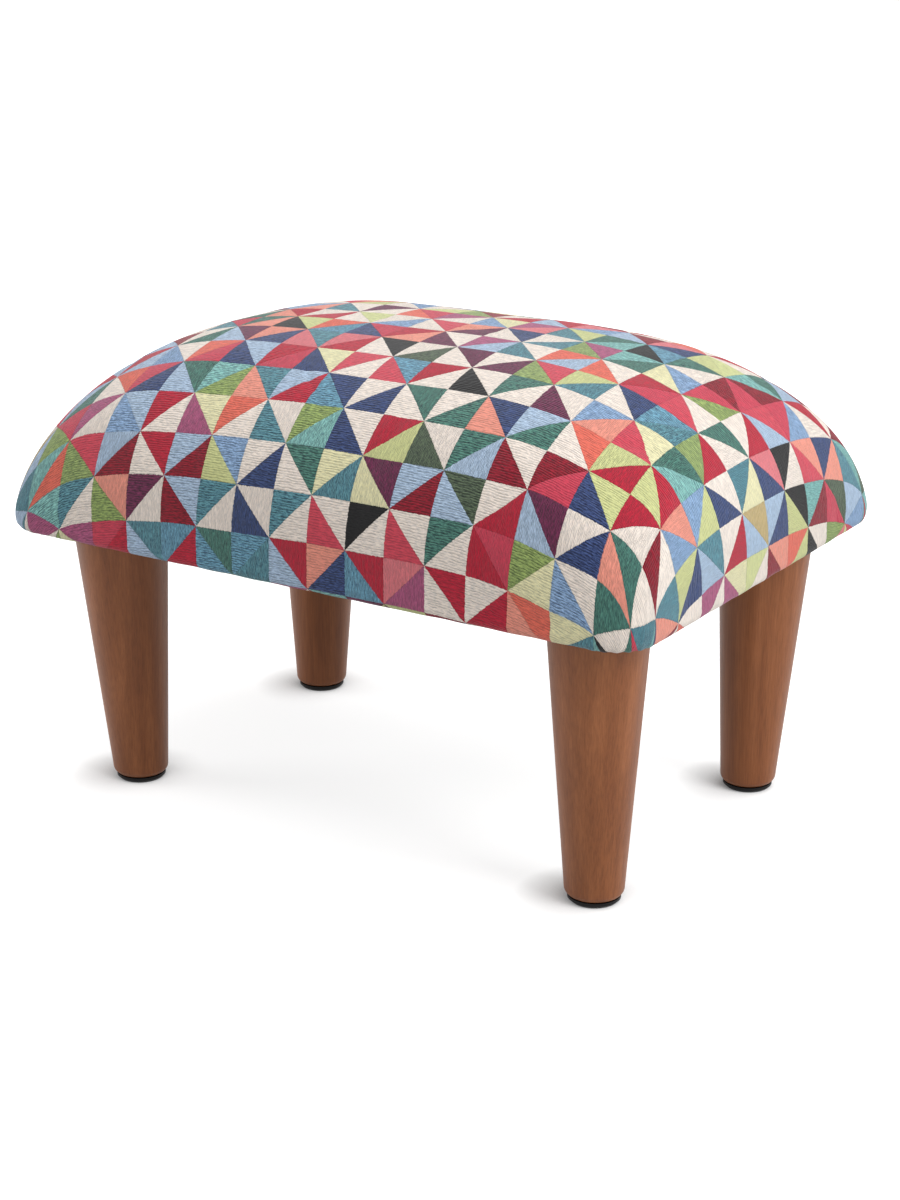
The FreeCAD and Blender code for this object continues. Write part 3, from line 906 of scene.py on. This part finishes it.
@dataclass
class SeatCover:
    """The seat's tapestry cover: crown, walls, gathered corners, rolled lower edge and turned-under hem."""

    low: Vector
    high: Vector
    opening_x: float
    opening_y: float
    thickness: float = 1.2 * MM
    belt_rise: float = 5.5 * MM
    top_share: float = 0.995
    profile_points: int = 2000
    table_points: int = 241
    crown_rings: int = 84
    cap_rings: int = 14
    roll_rings: int = 7
    hem_rings: int = 12
    lining_rings: int = 26
    hem_bow_share: float = 0.5
    hem_corner_share: float = 1 / 3

    # How the weave lies: where steep cloth is read from its height, and how the ends were pulled.
    steep_band: tuple[float, float] = (0.60, 0.35)
    shear_power: float = 0.6
    end_pull: float = 7.0 * MM
    end_pull_band: tuple[float, float] = (145 * MM, 195 * MM)

    # Gathers at the corners, hollows over the staples, slack waves and creases.
    gather_reach: float = 19 * MM
    gather_height: float = 15.0 * MM
    gather_depth: float = 0.28 * MM
    gather_spacing: float = 6.0 * MM
    gather_drift: float = 9.0
    pull_depth: float = 0.35 * MM
    pull_spacing: float = 26.0 * MM
    pull_height: float = 14 * MM
    pull_uneven: float = 0.4
    pull_waves: tuple[tuple[float, float], ...] = ((61, 1.3), (23, 0.4))
    shown_band: tuple[float, float] = (16 * MM, 9 * MM)
    slack_band: tuple[float, float] = (5 * MM, 40 * MM)
    crease_depth: float = 0.8 * MM
    crease_band: tuple[float, float] = (8 * MM, 30 * MM)

    # The settling simulation, which keeps every fourth ring and column.
    sim_stride: int = 4
    sim_frames: int = 20
    sim_cap: float = 1.6 * MM
    sim_band: tuple[float, float] = (2 * MM, 14 * MM)
    sim_quality: int = 6
    sim_mass: float = 0.3
    sim_stretch: float = 12
    sim_bending: float = 0.6
    sim_pressure: float = 4.0

    fill: float = 0.95
    slack: tuple[Wave, ...] = (
        Wave(0.30, ((47, 21, 0.8), (-12, 31, 2.1))),
        Wave(0.20, ((83, -57, 1.1), (0, 66, 4.0))),
    )
    creases: tuple[Crease, ...] = (
        Crease((0.80, -0.30), 1.20, 3.2 * MM, 0.9),
        Crease((0.84, 0.12), 1.45, 2.6 * MM, 0.8),
        Crease((0.78, 0.52), 1.85, 3.4 * MM, 1.0),
        Crease((-0.82, -0.44), 1.75, 3.0 * MM, 0.9),
        Crease((-0.79, 0.05), 1.60, 2.8 * MM, 0.8),
        Crease((-0.83, 0.48), 1.30, 3.3 * MM, 0.9),
        Crease((-0.35, -0.86), 0.25, 3.6 * MM, 0.7),
        Crease((0.22, -0.84), -0.20, 3.2 * MM, 0.6),
        Crease((0.60, -0.88), -0.35, 3.0 * MM, 0.9),
        Crease((-0.15, 0.86), -0.22, 3.4 * MM, 0.7),
        Crease((0.45, 0.87), 0.30, 3.1 * MM, 0.8),
        Crease((-0.10, -0.66), 1.23, 3.0 * MM, 1.3),
        Crease((0.84, -0.50), 0.58, 2.6 * MM, 1.4),
    )
    form: SeatForm = field(init=False)

    def __post_init__(self) -> None:
        """Works the form out from the cover's box."""
        belt = self.low.z + self.belt_rise
        self.form = SeatForm(
            half_x=(self.high.x - self.low.x) / 2,
            half_y=(self.high.y - self.low.y) / 2,
            bottom=self.low.z,
            belt=belt,
            rise=(self.high.z - belt) / self.top_share,
        )

    def outer_rings(self, form: SeatForm) -> tuple[np.ndarray, np.ndarray, np.ndarray]:
        """Rings from the crown down to the widest line, over the rolled edge and under to the hem.

        Crown rings are spaced evenly by the arc length of the mean profile. The cap inside the
        highest outline is that outline shrunk by k, at a height that falls off with k squared. The
        roll is a quarter ellipse, and the hem runs level to the opening.

        Args:
            form: the form to follow.

        Returns:
            Points by ring and column, each ring's share t of the rise, and how far each ring lies
            below the widest line along the cloth.
        """
        many = np.linspace(0, self.top_share, self.profile_points)
        half_x, half_y, *_ = form.level_sizes(many)
        profile = np.hypot(np.diff((half_x + half_y) / 2), np.diff(many * form.rise))
        length = np.concatenate([[0], np.cumsum(profile)])
        even = np.linspace(length[-1], 0, self.crown_rings)
        t = np.interp(even, length, many)
        plan = form.outlines(*form.level_sizes(t))
        crown = raised(plan, form.belt + t * form.rise)
        k = np.linspace(0, 1, self.cap_rings + 2)[1:-1]
        cap_t = 1 - (1 - self.top_share) * k ** 2
        cap = raised(plan[:1] * k[:, None, None], form.belt + form.rise * cap_t)
        angle = np.linspace(math.pi / 2, 0, self.roll_rings + 1)[1:]
        inward = form.draw_in * (1 - np.sin(angle))
        least = np.full(len(angle), form.bow_least)
        corner = np.full(len(angle), form.corner)
        roll_plan = form.outlines(form.half_x - inward, form.half_y - inward, corner, least, least)
        roll = raised(roll_plan, form.bottom + (form.belt - form.bottom) * (1 - np.cos(angle)))
        share = np.linspace(0, 1, self.hem_rings + 1)[1:]
        edge_x, edge_y = form.half_x - form.draw_in, form.half_y - form.draw_in
        least = np.full(len(share), form.bow_least * self.hem_bow_share)
        hem_plan = form.outlines(
            edge_x + (self.opening_x - edge_x) * share,
            edge_y + (self.opening_y - edge_y) * share,
            form.corner + form.corner * (self.hem_corner_share - 1) * share,
            least,
            least,
        )
        hem = raised(hem_plan, np.full(len(share), form.bottom))
        rings = np.concatenate([cap, crown, roll, hem])
        t_all = np.concatenate([cap_t, t, np.zeros(len(angle) + len(share))])
        steps = np.linalg.norm(np.diff(rings, axis=0), axis=-1)
        start = len(k) + len(t) - 1
        below = np.concatenate([np.zeros((start + 1, form.columns)), np.cumsum(steps[start:], 0)])
        return rings, t_all, below

    def cloth_coordinates(self, rings: np.ndarray, t: np.ndarray, below: np.ndarray) -> np.ndarray:
        """Where each point lies on the flat cloth.

        The coordinate across is the arc length from the middle along a line of steady y, and the one
        along is the arc length from the middle along a line of steady x. Near an edge the steep
        coordinate is worked out again from the height, which is exact there, once for the short side
        and once for the long. Below the widest line the cloth runs on straight down. The two readings
        agree on the crown, and round a corner one passes into the other, which is how the weave
        shears and gathers there. At both ends the cloth was also pulled a little sideways.

        Args:
            rings: the points.
            t: each ring's share of the rise.
            below: the distance below the widest line.

        Returns:
            Rings by columns by 2, in metres.
        """
        form = self.form
        share = 1 - (1 - np.linspace(0, 1, self.table_points)) ** 3
        xs, ys = form.half_x * share, form.half_y * share
        fall_x, _ = form.crown_share(xs, 0 * xs)
        _, fall_y = form.crown_share(0 * ys, ys)
        height = form.rise * fall_x[:, None] * fall_y[None, :]
        zeros = np.zeros((1, len(share)))
        steps_x = np.hypot(np.diff(height, axis=0), np.diff(xs)[:, None])
        steps_y = np.hypot(np.diff(height.T, axis=0), np.diff(ys)[:, None])
        arc_x = np.concatenate([zeros, np.cumsum(steps_x, 0)])
        arc_y = np.concatenate([zeros, np.cumsum(steps_y, 0)]).T

        def look_up(table: np.ndarray, x: np.ndarray, y: np.ndarray) -> np.ndarray:
            """Reads a table between its points, on the same crowded spacing.

            Args:
                table: the arc lengths.
                x: places along the length, from the middle.
                y: places along the depth, from the middle.

            Returns:
                The arc length at each place.
            """
            count = len(share) - 1
            place_x = (1 - (1 - np.clip(x / form.half_x, 0, 1)) ** (1 / 3)) * count
            place_y = (1 - (1 - np.clip(y / form.half_y, 0, 1)) ** (1 / 3)) * count
            i = np.minimum(place_x.astype(int), count - 1)
            j = np.minimum(place_y.astype(int), count - 1)
            p, q = place_x - i, place_y - j
            return (table[i, j] * (1 - p) * (1 - q) + table[i + 1, j] * p * (1 - q)
                    + table[i, j + 1] * (1 - p) * q + table[i + 1, j + 1] * p * q)

        x, y = np.abs(rings[..., 0]), np.abs(rings[..., 1])
        level = np.broadcast_to(t[:, None], x.shape)
        fall_x, fall_y = form.crown_share(x, y)
        left_x = np.clip(level / np.maximum(fall_y, TINY), 0, 1)
        left_y = np.clip(level / np.maximum(fall_x, TINY), 0, 1)
        steep_x = form.half_x * (1 - left_x ** (1 / form.fall_x)) ** (1 / form.power_x)
        steep_y = form.half_y * (1 - left_y ** (1 / form.fall_y)) ** (1 / form.power_y)
        exact = smooth_step(level, *self.steep_band)
        x_side = x + (steep_x - x) * exact
        y_side = y + (steep_y - y) * exact
        from_short = np.stack([look_up(arc_x, x_side, y) + below, look_up(arc_y, x_side, y)], -1)
        from_long = np.stack([look_up(arc_x, x, y_side), look_up(arc_y, x, y_side) + below], -1)
        share = self.corner_share()[None, :, None]
        cloth = (from_short * (1 - share) + from_long * share) * np.sign(rings[..., :2])
        pull = smooth_step(np.abs(cloth[..., 0]), *self.end_pull_band) * np.sign(cloth[..., 0])
        cloth[..., 1] -= self.end_pull * pull
        return cloth

    def corner_share(self) -> np.ndarray:
        """How far the cloth at each column belongs to a long side.

        Returns:
            0 on a short side, 1 on a long side, and a rise of power 0.6 round the corner between.
        """
        form = self.form
        quarter, within = np.divmod(np.arange(form.columns), form.quarter)
        local = np.where(quarter % 2 == 1, form.quarter - within, within)
        return np.clip((local - form.side_points) / form.corner_points, 0, 1) ** self.shear_power

    def corner_distance(self, rings: np.ndarray) -> np.ndarray:
        """Distance of each point along its ring from its corner's middle.

        Args:
            rings: the points.

        Returns:
            The distances, above 0 towards the long side.
        """
        form = self.form
        middle = form.side_points + form.corner_points // 2
        quarter = np.arange(form.columns) // form.quarter
        flipped = quarter % 2 == 1
        steps = np.linalg.norm(np.roll(rings, -1, axis=1) - rings, axis=-1)
        travelled = np.concatenate([np.zeros((len(rings), 1)), np.cumsum(steps, 1)[:, :-1]], 1)
        corner_column = quarter * form.quarter + np.where(flipped, form.quarter - middle, middle)
        distance = travelled - travelled[:, corner_column]
        return np.where(flipped[None, :], -distance, distance)

    def fold_cloth(self, rings: np.ndarray, below: np.ndarray) -> np.ndarray:
        """Adds what the hands of the upholsterer leave: gathers, pulls, creases and slack.

        Gathers are a cosine round each corner that dies out up the wall. Pulls are cosine hollows
        over the staples along the lower edge. Creases are narrow grooves that run from the crown down
        each end and over the long shoulders, and the slack is a few slow waves over the crown.

        Args:
            rings: the points.
            below: the distance below the widest line.

        Returns:
            The moved points.
        """
        form = self.form
        distance = self.corner_distance(rings)
        height = rings[..., 2] - form.bottom
        shown = smooth_step(below, *self.shown_band)
        x, y = rings[..., 0], rings[..., 1]
        above = np.maximum(height, 0)
        near_corner = np.exp(-(distance / self.gather_reach) ** 2) * np.exp(-above / self.gather_height)
        gathers = np.cos(TURN * distance / self.gather_spacing + x * self.gather_drift)
        gathers = self.gather_depth * gathers * near_corner
        along = np.where(np.abs(y) / form.half_y > np.abs(x) / form.half_x, x, y)
        first, second = (np.sin(along * rate + phase) for rate, phase in self.pull_waves)
        uneven = 1 - self.pull_uneven + self.pull_uneven * first * second
        pulls = (0.5 - 0.5 * np.cos(TURN * along / self.pull_spacing)) * uneven
        pulls = -self.pull_depth * pulls * np.exp(-above / self.pull_height) * (1 - near_corner)
        slack = sum(wave.at(x, y) for wave in self.slack) * MM * smooth_step(height, *self.slack_band)
        creases = sum(crease.at(x, y, form) for crease in self.creases)
        creases = -self.crease_depth * creases * smooth_step(height, *self.crease_band)
        total = (gathers + pulls) * shown + slack + creases
        return rings + self.ring_normals(rings) * total[..., None]

    def ring_normals(self, rings: np.ndarray) -> np.ndarray:
        """Outward unit normals of a ring grid, from the cross product of its two directions.

        Args:
            rings: the points.

        Returns:
            A normal at each point.
        """
        round_ring = np.roll(rings, -1, axis=1) - np.roll(rings, 1, axis=1)
        down = np.gradient(rings, axis=0)
        normal = np.cross(down, round_ring)
        length = np.linalg.norm(normal, axis=-1, keepdims=True)
        return normal / np.maximum(length, TINY)

    def settle(self, rings: np.ndarray, t: np.ndarray) -> np.ndarray:
        """Lets the cloth settle over its padding with a cloth simulation on a coarser ring grid.

        The crown and walls are blown up gently against a pinned lower edge. The even part of the
        swelling is taken off, so the form keeps its size, and what is left is capped and spread back
        over the fine grid.

        Args:
            rings: the fine outer points.
            t: each ring's share of the rise.

        Returns:
            The settled fine points.
        """
        last = int(np.argmax(t <= 0)) + self.roll_rings
        ring_pick = np.unique(np.append(np.arange(0, last, self.sim_stride), last))
        column_pick = np.arange(0, rings.shape[1], self.sim_stride)
        coarse = rings[np.ix_(ring_pick, column_pick)][::-1]
        count = coarse.shape[1]
        top = (0, 0, self.form.belt + self.form.rise)
        cushion = closed_shell("settling_cloth", coarse, (0, 0, self.form.bottom), top)
        pins = cushion.vertex_groups.new(name="pinned")
        pins.add(list(range(1 + count)), 1.0, "REPLACE")
        cloth = cushion.modifiers.new("cloth", "CLOTH")
        cloth.settings.quality = self.sim_quality
        cloth.settings.mass = self.sim_mass
        cloth.settings.tension_stiffness = self.sim_stretch
        cloth.settings.compression_stiffness = self.sim_stretch
        cloth.settings.bending_stiffness = self.sim_bending
        cloth.settings.use_pressure = True
        cloth.settings.uniform_pressure_force = self.sim_pressure
        cloth.settings.vertex_group_mass = "pinned"
        cloth.settings.effector_weights.gravity = 0.0
        cloth.collision_settings.use_collision = False
        scene = bpy.context.scene
        for step in range(1, self.sim_frames + 1):
            scene.frame_set(step)
        graph = bpy.context.evaluated_depsgraph_get()
        settled = cushion.evaluated_get(graph).to_mesh()
        moved = np.empty(len(settled.vertices) * 3, np.float32)
        settled.vertices.foreach_get("co", moved)
        scene.frame_set(1)
        bpy.data.objects.remove(cushion, do_unlink=True)
        shift = moved.reshape(-1, 3)[1:-1].reshape(coarse.shape)[::-1] - coarse[::-1]
        along = np.sum(shift * self.ring_normals(coarse[::-1]), -1)
        even = along.mean(axis=1, keepdims=True)
        rough = np.clip(along - even, -self.sim_cap, self.sim_cap)
        swelling, unevenness = float(np.abs(even).mean()) / MM, float(np.abs(rough).max()) / MM
        LOG.info("cloth settled: mean swelling %.1f mm, unevenness %.1f mm", swelling, unevenness)
        fine_ring = np.arange(len(rings))
        fine_column = np.arange(rings.shape[1])
        wrapped = np.concatenate([rough, rough[:, :1]], 1)
        columns = np.append(column_pick, rings.shape[1])
        spread = np.stack([np.interp(fine_column, columns, row) for row in wrapped])
        spread = np.stack([np.interp(fine_ring, ring_pick, spread[:, c]) for c in fine_column], -1)
        fade = smooth_step(rings[..., 2] - self.form.bottom, *self.sim_band)
        return rings + self.ring_normals(rings) * (spread * fade)[..., None]

    def build(self) -> bpy.types.Object:
        """Builds the cover as one closed shell with its cloth coordinates.

        Returns:
            The cover.
        """
        form = self.form
        rings, t, below = self.outer_rings(form)
        cloth = self.cloth_coordinates(rings, t, below)
        rings = self.settle(rings, t)
        rings = self.fold_cloth(rings, below)
        pick = np.unique(np.linspace(0, len(rings) - 1, self.lining_rings).astype(int))
        lining = rings[pick] - self.ring_normals(rings)[pick] * self.thickness
        in_hem = below[pick].mean(1) > below[-1].mean() * 0.5
        lining[in_hem, :, 2] = form.bottom + self.thickness
        crown_top = rings[0].mean(0)
        lining_top = crown_top - (0, 0, self.thickness)
        shell = np.concatenate([lining, rings[::-1]])
        shell_cloth = np.concatenate([cloth[pick], cloth[::-1]])
        return closed_shell("seat_cover_cloth", shell, lining_top, crown_top, shell_cloth)

    def dress(self, piece: bpy.types.Object, tapestry: bpy.types.Material) -> None:
        dress(piece, tapestry, "root", "tapestry", "seat_cover")


@dataclass
class Padding:
    """The wadding between the cover and the foam, as a closed quilt that is open below."""

    form: SeatForm
    open_z: float
    gap: float = 3.6 * MM
    thickness: float = 5.6 * MM
    top_share: float = 0.995
    rings: int = 40
    crowding: float = 1.4
    lump_height: float = 0.35 * MM
    lump_rates: tuple[float, float] = (160.0, 190.0)
    fill: float = 0.5

    def build(self) -> bpy.types.Object:
        """Builds the quilt: an outer skin, an inner skin and a rim between them.

        Both skins are the seat's outlines drawn in, at shares of the rise that a cosine spaces.

        Returns:
            The quilt.
        """
        skins = []
        for depth in (self.gap, self.gap + self.thickness):
            form = self.form.inset(depth)
            t = self.top_share * np.cos(np.linspace(0, math.pi / 2, self.rings)) ** self.crowding
            t[-1] = 0
            skin = raised(form.outlines(*form.level_sizes(t)), form.belt + t * form.rise)
            lump_x, lump_y = (np.sin(skin[..., axis] * rate) for axis, rate in enumerate(self.lump_rates))
            skin[..., 2] += self.lump_height * lump_x * lump_y * t[:, None]
            rim = skin[-1:].copy()
            rim[..., 2] = self.open_z
            skins.append(np.concatenate([skin, rim]))
        outer, inner = skins
        rings = np.concatenate([inner, outer[::-1]])
        return closed_shell("wadding_quilt", rings, inner[0].mean(0), outer[0].mean(0))

    def dress(self, piece: bpy.types.Object) -> None:
        dress(piece, Stuff.WADDING.value.build(), "root", "wadding", "wadding")


@dataclass
class DustCover:
    """The black cambric under the frame, stapled tight with a slight sag between its staples."""

    low: Vector
    high: Vector
    corner: float = 6.0 * MM
    sag: float = 0.175 * MM
    hollow: float = 0.075 * MM
    hollow_reach: float = 12 * MM
    staple_spacing: float = 26 * MM
    top_gap: float = 0.1 * MM
    least_height: float = 0.02 * MM
    step: float = 3.0 * MM

    def build(self) -> bpy.types.Object:
        """Builds the sheet on a plain grid.

        The sheet hangs by sag (1 - x^2)(1 - y^2), with cosine hollows towards its edge, and it never
        reaches below its solid.

        Returns:
            The sheet.
        """
        columns = int((self.high.x - self.low.x) / self.step)
        rows = int((self.high.y - self.low.y) / self.step)
        x = np.linspace(self.low.x, self.high.x, columns)
        y = np.linspace(self.low.y, self.high.y, rows)
        plan = np.stack(np.meshgrid(x, y, indexing="ij"), -1)
        half = np.array([self.high.x - self.low.x, self.high.y - self.low.y]) / 2
        over = np.maximum(np.abs(plan) - (half - self.corner), 0)
        reach = np.linalg.norm(over, axis=-1, keepdims=True)
        shrink = np.where(reach > self.corner, self.corner / np.maximum(reach, TINY), 1)
        in_corner = (over > 0).all(-1, keepdims=True)
        plan = np.where(in_corner, np.sign(plan) * (half - self.corner + over * shrink), plan)
        hang = np.prod(1 - (plan / half) ** 2, -1)
        near_edge = np.exp(-(half - np.abs(plan)) / self.hollow_reach)
        waves = np.sum(np.cos(plan * TURN / self.staple_spacing) * near_edge[..., ::-1], -1)
        depth = self.high.z - self.top_gap - self.sag * hang - self.hollow * (1 + waves)
        depth = np.clip(depth, self.low.z + self.least_height, self.high.z)
        points = np.concatenate([plan, depth[..., None]], -1).reshape(-1, 3)
        faces = ring_faces(columns, rows, closed=False)
        return make_mesh("dust_cover_cambric", points, faces)

    def dress(self, piece: bpy.types.Object) -> None:
        """Args:
            piece: the sheet.
        """
        dress(piece, Cambric().build(), "root", "dust_cloth", "dust_cover")


@dataclass
class TurnedLeg:
    """A round tapered leg with a softly rounded foot and an eased top."""

    corner: str
    low: Vector
    high: Vector
    top_centre: tuple[float, float]
    foot_centre: tuple[float, float]
    top_radius: float = 26.5 * MM
    foot_radius: float = 15.5 * MM
    foot_rounding: float = 4.0 * MM
    top_easing: float = 1.0 * MM
    arc_points: int = 10
    columns: int = 96
    rings: int = 70

    def build(self) -> bpy.types.Object:
        """Builds the leg as a turned profile about a line from its foot to its top.

        The radius grows evenly from foot to top. Both ends are rounded as quarter circles, and each
        end is closed with a fan.

        Returns:
            The leg.
        """
        length = self.high.z - self.low.z
        arc = np.linspace(0, math.pi / 2, self.arc_points)
        foot_height = self.foot_rounding * (1 - np.cos(arc))
        foot_trim = self.foot_rounding * (1 - np.sin(arc))
        straight = np.linspace(self.foot_rounding, length - self.top_easing, self.rings)[1:]
        top_height = length - self.top_easing * (1 - np.sin(arc[1:]))
        top_trim = self.top_easing * (1 - np.cos(arc[1:]))
        height = np.concatenate([foot_height, straight, top_height])
        trim = np.concatenate([foot_trim, 0 * straight, top_trim])
        share = height / length
        radius = self.foot_radius + (self.top_radius - self.foot_radius) * share - trim
        centre = np.outer(1 - share, self.foot_centre) + np.outer(share, self.top_centre)
        angle = np.linspace(0, TURN, self.columns, endpoint=False)
        x = centre[:, :1] + radius[:, None] * np.cos(angle)
        y = centre[:, 1:] + radius[:, None] * np.sin(angle)
        z = np.broadcast_to(self.low.z + height[:, None], x.shape)
        rings = np.stack([x, y, z], -1)
        foot = (centre[0, 0], centre[0, 1], self.low.z)
        top = (centre[-1, 0], centre[-1, 1], self.high.z)
        return closed_shell("turned_leg_" + self.corner, rings, foot, top)

    def dress(self, piece: bpy.types.Object, wood: bpy.types.Material) -> None:
        """Dresses the leg."""
        dress(piece, wood, "root", "walnut", "leg_" + self.corner)


class HiddenWork:
    """The frame, deck, foam, fasteners and glides: solids whose shape is right as it is.

    Fasteners stand first, because a rail's screws also have the rail's word in their name.
    """

    finishes: dict[str, Stuff] = {
        "screws": Stuff.ZINC,
        "staples": Stuff.ZINC,
        "inserts": Stuff.ZINC,
        "bolts": Stuff.ZINC,
        "nails": Stuff.ZINC,
        "foam": Stuff.FOAM,
        "wadding": Stuff.WADDING,
        "block": Stuff.BIRCH,
        "rail": Stuff.BIRCH,
        "deck_board": Stuff.PLYWOOD,
        "glide": Stuff.NYLON,
    }

    def dress(self) -> None:
        """Gives every solid that still stands its material, by the first of the words in its name."""
        ready: dict[Stuff, bpy.types.Material] = {}
        for name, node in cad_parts.items():
            stuff = next((finish for word, finish in self.finishes.items() if word in name), None)
            if stuff is None:
                continue
            if stuff not in ready:
                ready[stuff] = stuff.value.build()
            node.data.materials.clear()
            node.data.materials.append(ready[stuff])
            LOG.info("%s: %s", name, stuff.value.name)


@dataclass(frozen=True)
class Lamp:
    """One soft square lamp that faces the seat."""

    name: str
    place: tuple[float, float, float]
    size: float
    power: float
    target: tuple[float, float, float] = (0.0, 0.0, 0.18)

    def hang(self) -> None:
        """Adds the lamp to the scene."""
        data = bpy.data.lights.new(self.name, "AREA")
        data.shape = "SQUARE"
        data.size = self.size
        data.energy = self.power
        place_and_aim(bpy.data.objects.new(self.name, data), self.place, self.target)


def place_and_aim(thing: bpy.types.Object, place: Sequence[float], target: Sequence[float]) -> None:
    """Puts a lamp or the camera at its place, facing a target.

    Args:
        thing: the object.
        place: where it stands.
        target: what it faces.
    """
    thing.location = place
    aim = Vector(target) - Vector(place)
    thing.rotation_euler = aim.to_track_quat("-Z", "Y").to_euler()
    bpy.context.scene.collection.objects.link(thing)


@dataclass
class Studio:
    """A white floor, soft lamps and the camera at the photograph's place."""

    camera_place: tuple[float, float, float] = (0.6816, -1.0448, 0.5255)
    camera_target: tuple[float, float, float] = (0.00346, 0.00224, 0.10960)
    lens: float = 69.70
    sensor: float = 36.0
    far_end: float = 50.0
    lamps: tuple[Lamp, ...] = (
        Lamp("key", (2.3, -0.25, 1.7), 1.4, 41.0),
        Lamp("left", (-2.2, -1.0, 1.3), 1.4, 18.5),
        Lamp("top", (0.3, 0.9, 2.6), 1.6, 28.0),
    )
    white: tuple[float, float, float, float] = (1.0, 1.0, 1.0, 1.0)
    floor_grey: tuple[float, float, float, float] = (0.62, 0.62, 0.62, 1.0)
    floor_size: float = 12.0
    # Painted contact shadow round each foot: how far, which way and how much the floor's glow is dimmed.
    painted_shadow_reach: float = 28.0 * MM
    painted_shadow_lean: tuple[float, float, float] = (0.66, -0.18, 0.73)
    painted_shadow_band: tuple[float, float] = (0.45, 1.0)
    painted_shadow_glow: tuple[float, float] = (0.14, 0.74)
    painted_shadow_samples: int = 12
    white_band: tuple[float, float] = (0.35, 0.9)
    sky: float = 0.36

    def build(self) -> None:
        """Builds the floor, the world, the lamps and the camera."""
        self.floor()
        self.world()
        for lamp in self.lamps:
            lamp.hang()
        self.camera()

    def floor(self) -> None:
        """Lays a white floor that keeps the object's shadow and shows white to the camera.

        The glow dims near each foot: a painted contact shadow that leans away from the key lamp, as the real
        shadow does.
        """
        half = self.floor_size / 2
        points = np.array([[-half, -half, 0], [half, -half, 0], [half, half, 0], [-half, half, 0]])
        floor = make_mesh("floor", points, np.array([[0, 1, 2, 3]]))
        material, tree = new_material("white_floor")
        path = add_node(tree, "LightPath").outputs
        seen = add_node(tree, "Math", path["Is Camera Ray"], path["Is Glossy Ray"], operation="MAXIMUM")
        matte = add_node(tree, "BsdfDiffuse", self.floor_grey)
        place = add_node(tree, "TexCoord").outputs["Object"]
        far = add_node(tree, "VectorMath", place, operation="LENGTH")
        # Painted contact shadow: occlusion round each foot, leaned towards the key lamp, dims the glow; the
        # matte part keeps the real shadow.
        lean = add_node(tree, "CombineXYZ", *self.painted_shadow_lean)
        open_air = add_node(
            tree, "AmbientOcclusion", samples=self.painted_shadow_samples, Distance=self.painted_shadow_reach, Normal=lean
        ).outputs["AO"]
        near = add_node(tree, "MapRange", open_air, *self.painted_shadow_band, *self.painted_shadow_glow)
        strength = add_node(
            tree, "MapRange", far, *self.white_band, near, 1.0, interpolation_type="SMOOTHSTEP"
        )
        glow = add_node(tree, "Emission", self.white, strength)
        lit = add_node(tree, "AddShader", matte, glow)
        both = add_node(tree, "MixShader", seen, matte, lit)
        add_node(tree, "OutputMaterial", both)
        floor.data.materials.append(material)

    def world(self) -> None:
        """Surrounds the object with soft white light that shows as pure white."""
        world = bpy.data.worlds.new("soft_white")
        bpy.context.scene.world = world
        world.use_nodes = True
        tree = world.node_tree
        tree.nodes.clear()
        path = add_node(tree, "LightPath").outputs
        seen = add_node(tree, "Math", path["Is Camera Ray"], path["Is Glossy Ray"], operation="MAXIMUM")
        soft = add_node(tree, "Background", self.white, self.sky)
        shown = add_node(tree, "Background", self.white, 1.0)
        both = add_node(tree, "MixShader", seen, soft, shown)
        add_node(tree, "OutputWorld", both)

    def camera(self) -> None:
        """Sets up the camera at the photograph's place."""
        data = bpy.data.cameras.new("camera")
        data.sensor_width = self.sensor
        data.lens = self.lens
        data.clip_end = self.far_end
        camera = bpy.data.objects.new("camera", data)
        place_and_aim(camera, self.camera_place, self.camera_target)
        bpy.context.scene.camera = camera
        bpy.context.scene.view_settings.view_transform = "Standard"


def node_box(name: str) -> tuple[Vector, Vector]:
    """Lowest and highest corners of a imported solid."""
    low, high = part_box(name)
    return Vector(low), Vector(high)


def write_sizes() -> None:
    """Brings the view layer up to date."""
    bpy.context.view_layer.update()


def build_seat() -> None:
    """Builds the cover, the wadding under it and the dust cover.

    The cover's hem ends a little inside the rails that it is stapled to.
    """
    low, high = node_box("seat_cover")
    front_low, front_high = node_box("front_rail")
    side_low, _ = node_box("right_rail")
    opening_x, opening_y = side_low.x - HEM_PAST_RAIL, -front_high.y - HEM_PAST_RAIL
    cover = SeatCover(low=low, high=high, opening_x=opening_x, opening_y=opening_y)
    cover.dress(cover.build(), PatchworkTapestry().build())
    wadding = Padding(form=cover.form, open_z=front_low.z)
    wadding.dress(wadding.build())
    low, high = node_box("dust_cover")
    sheet = DustCover(low=low, high=high)
    sheet.dress(sheet.build())


def leg_top(corner: str) -> Vector:
    """Middle of a leg's top, which stands on the line of its stud.

    Args:
        corner: the leg's corner.

    Returns:
        The place, with the height of the inserts' lower end.
    """
    side_x, side_y = CORNERS[corner]
    low, high = node_box("threaded_inserts")
    return Vector((side_x * (high.x - INSERT_RADIUS), side_y * (high.y - INSERT_RADIUS), low.z))


def build_legs() -> None:
    """Builds the four legs over their solids."""
    wood = StainedBeech().build()
    for corner in CORNERS:
        low, high = node_box("leg_" + corner)
        glide_low, glide_high = node_box("glide_" + corner)
        top = leg_top(corner)
        foot = (glide_low + glide_high) / 2
        leg = TurnedLeg(
            corner=corner, low=low, high=high, top_centre=(top.x, top.y), foot_centre=(foot.x, foot.y)
        )
        leg.dress(leg.build(), wood)


def main() -> None:
    """Builds the whole object and its studio."""
    logging.basicConfig(level=logging.INFO, format="%(name)s: %(message)s")
    build_seat()
    build_legs()
    HiddenWork().dress()
    Studio().build()
    write_sizes()


if __name__ == "__main__":
    main()
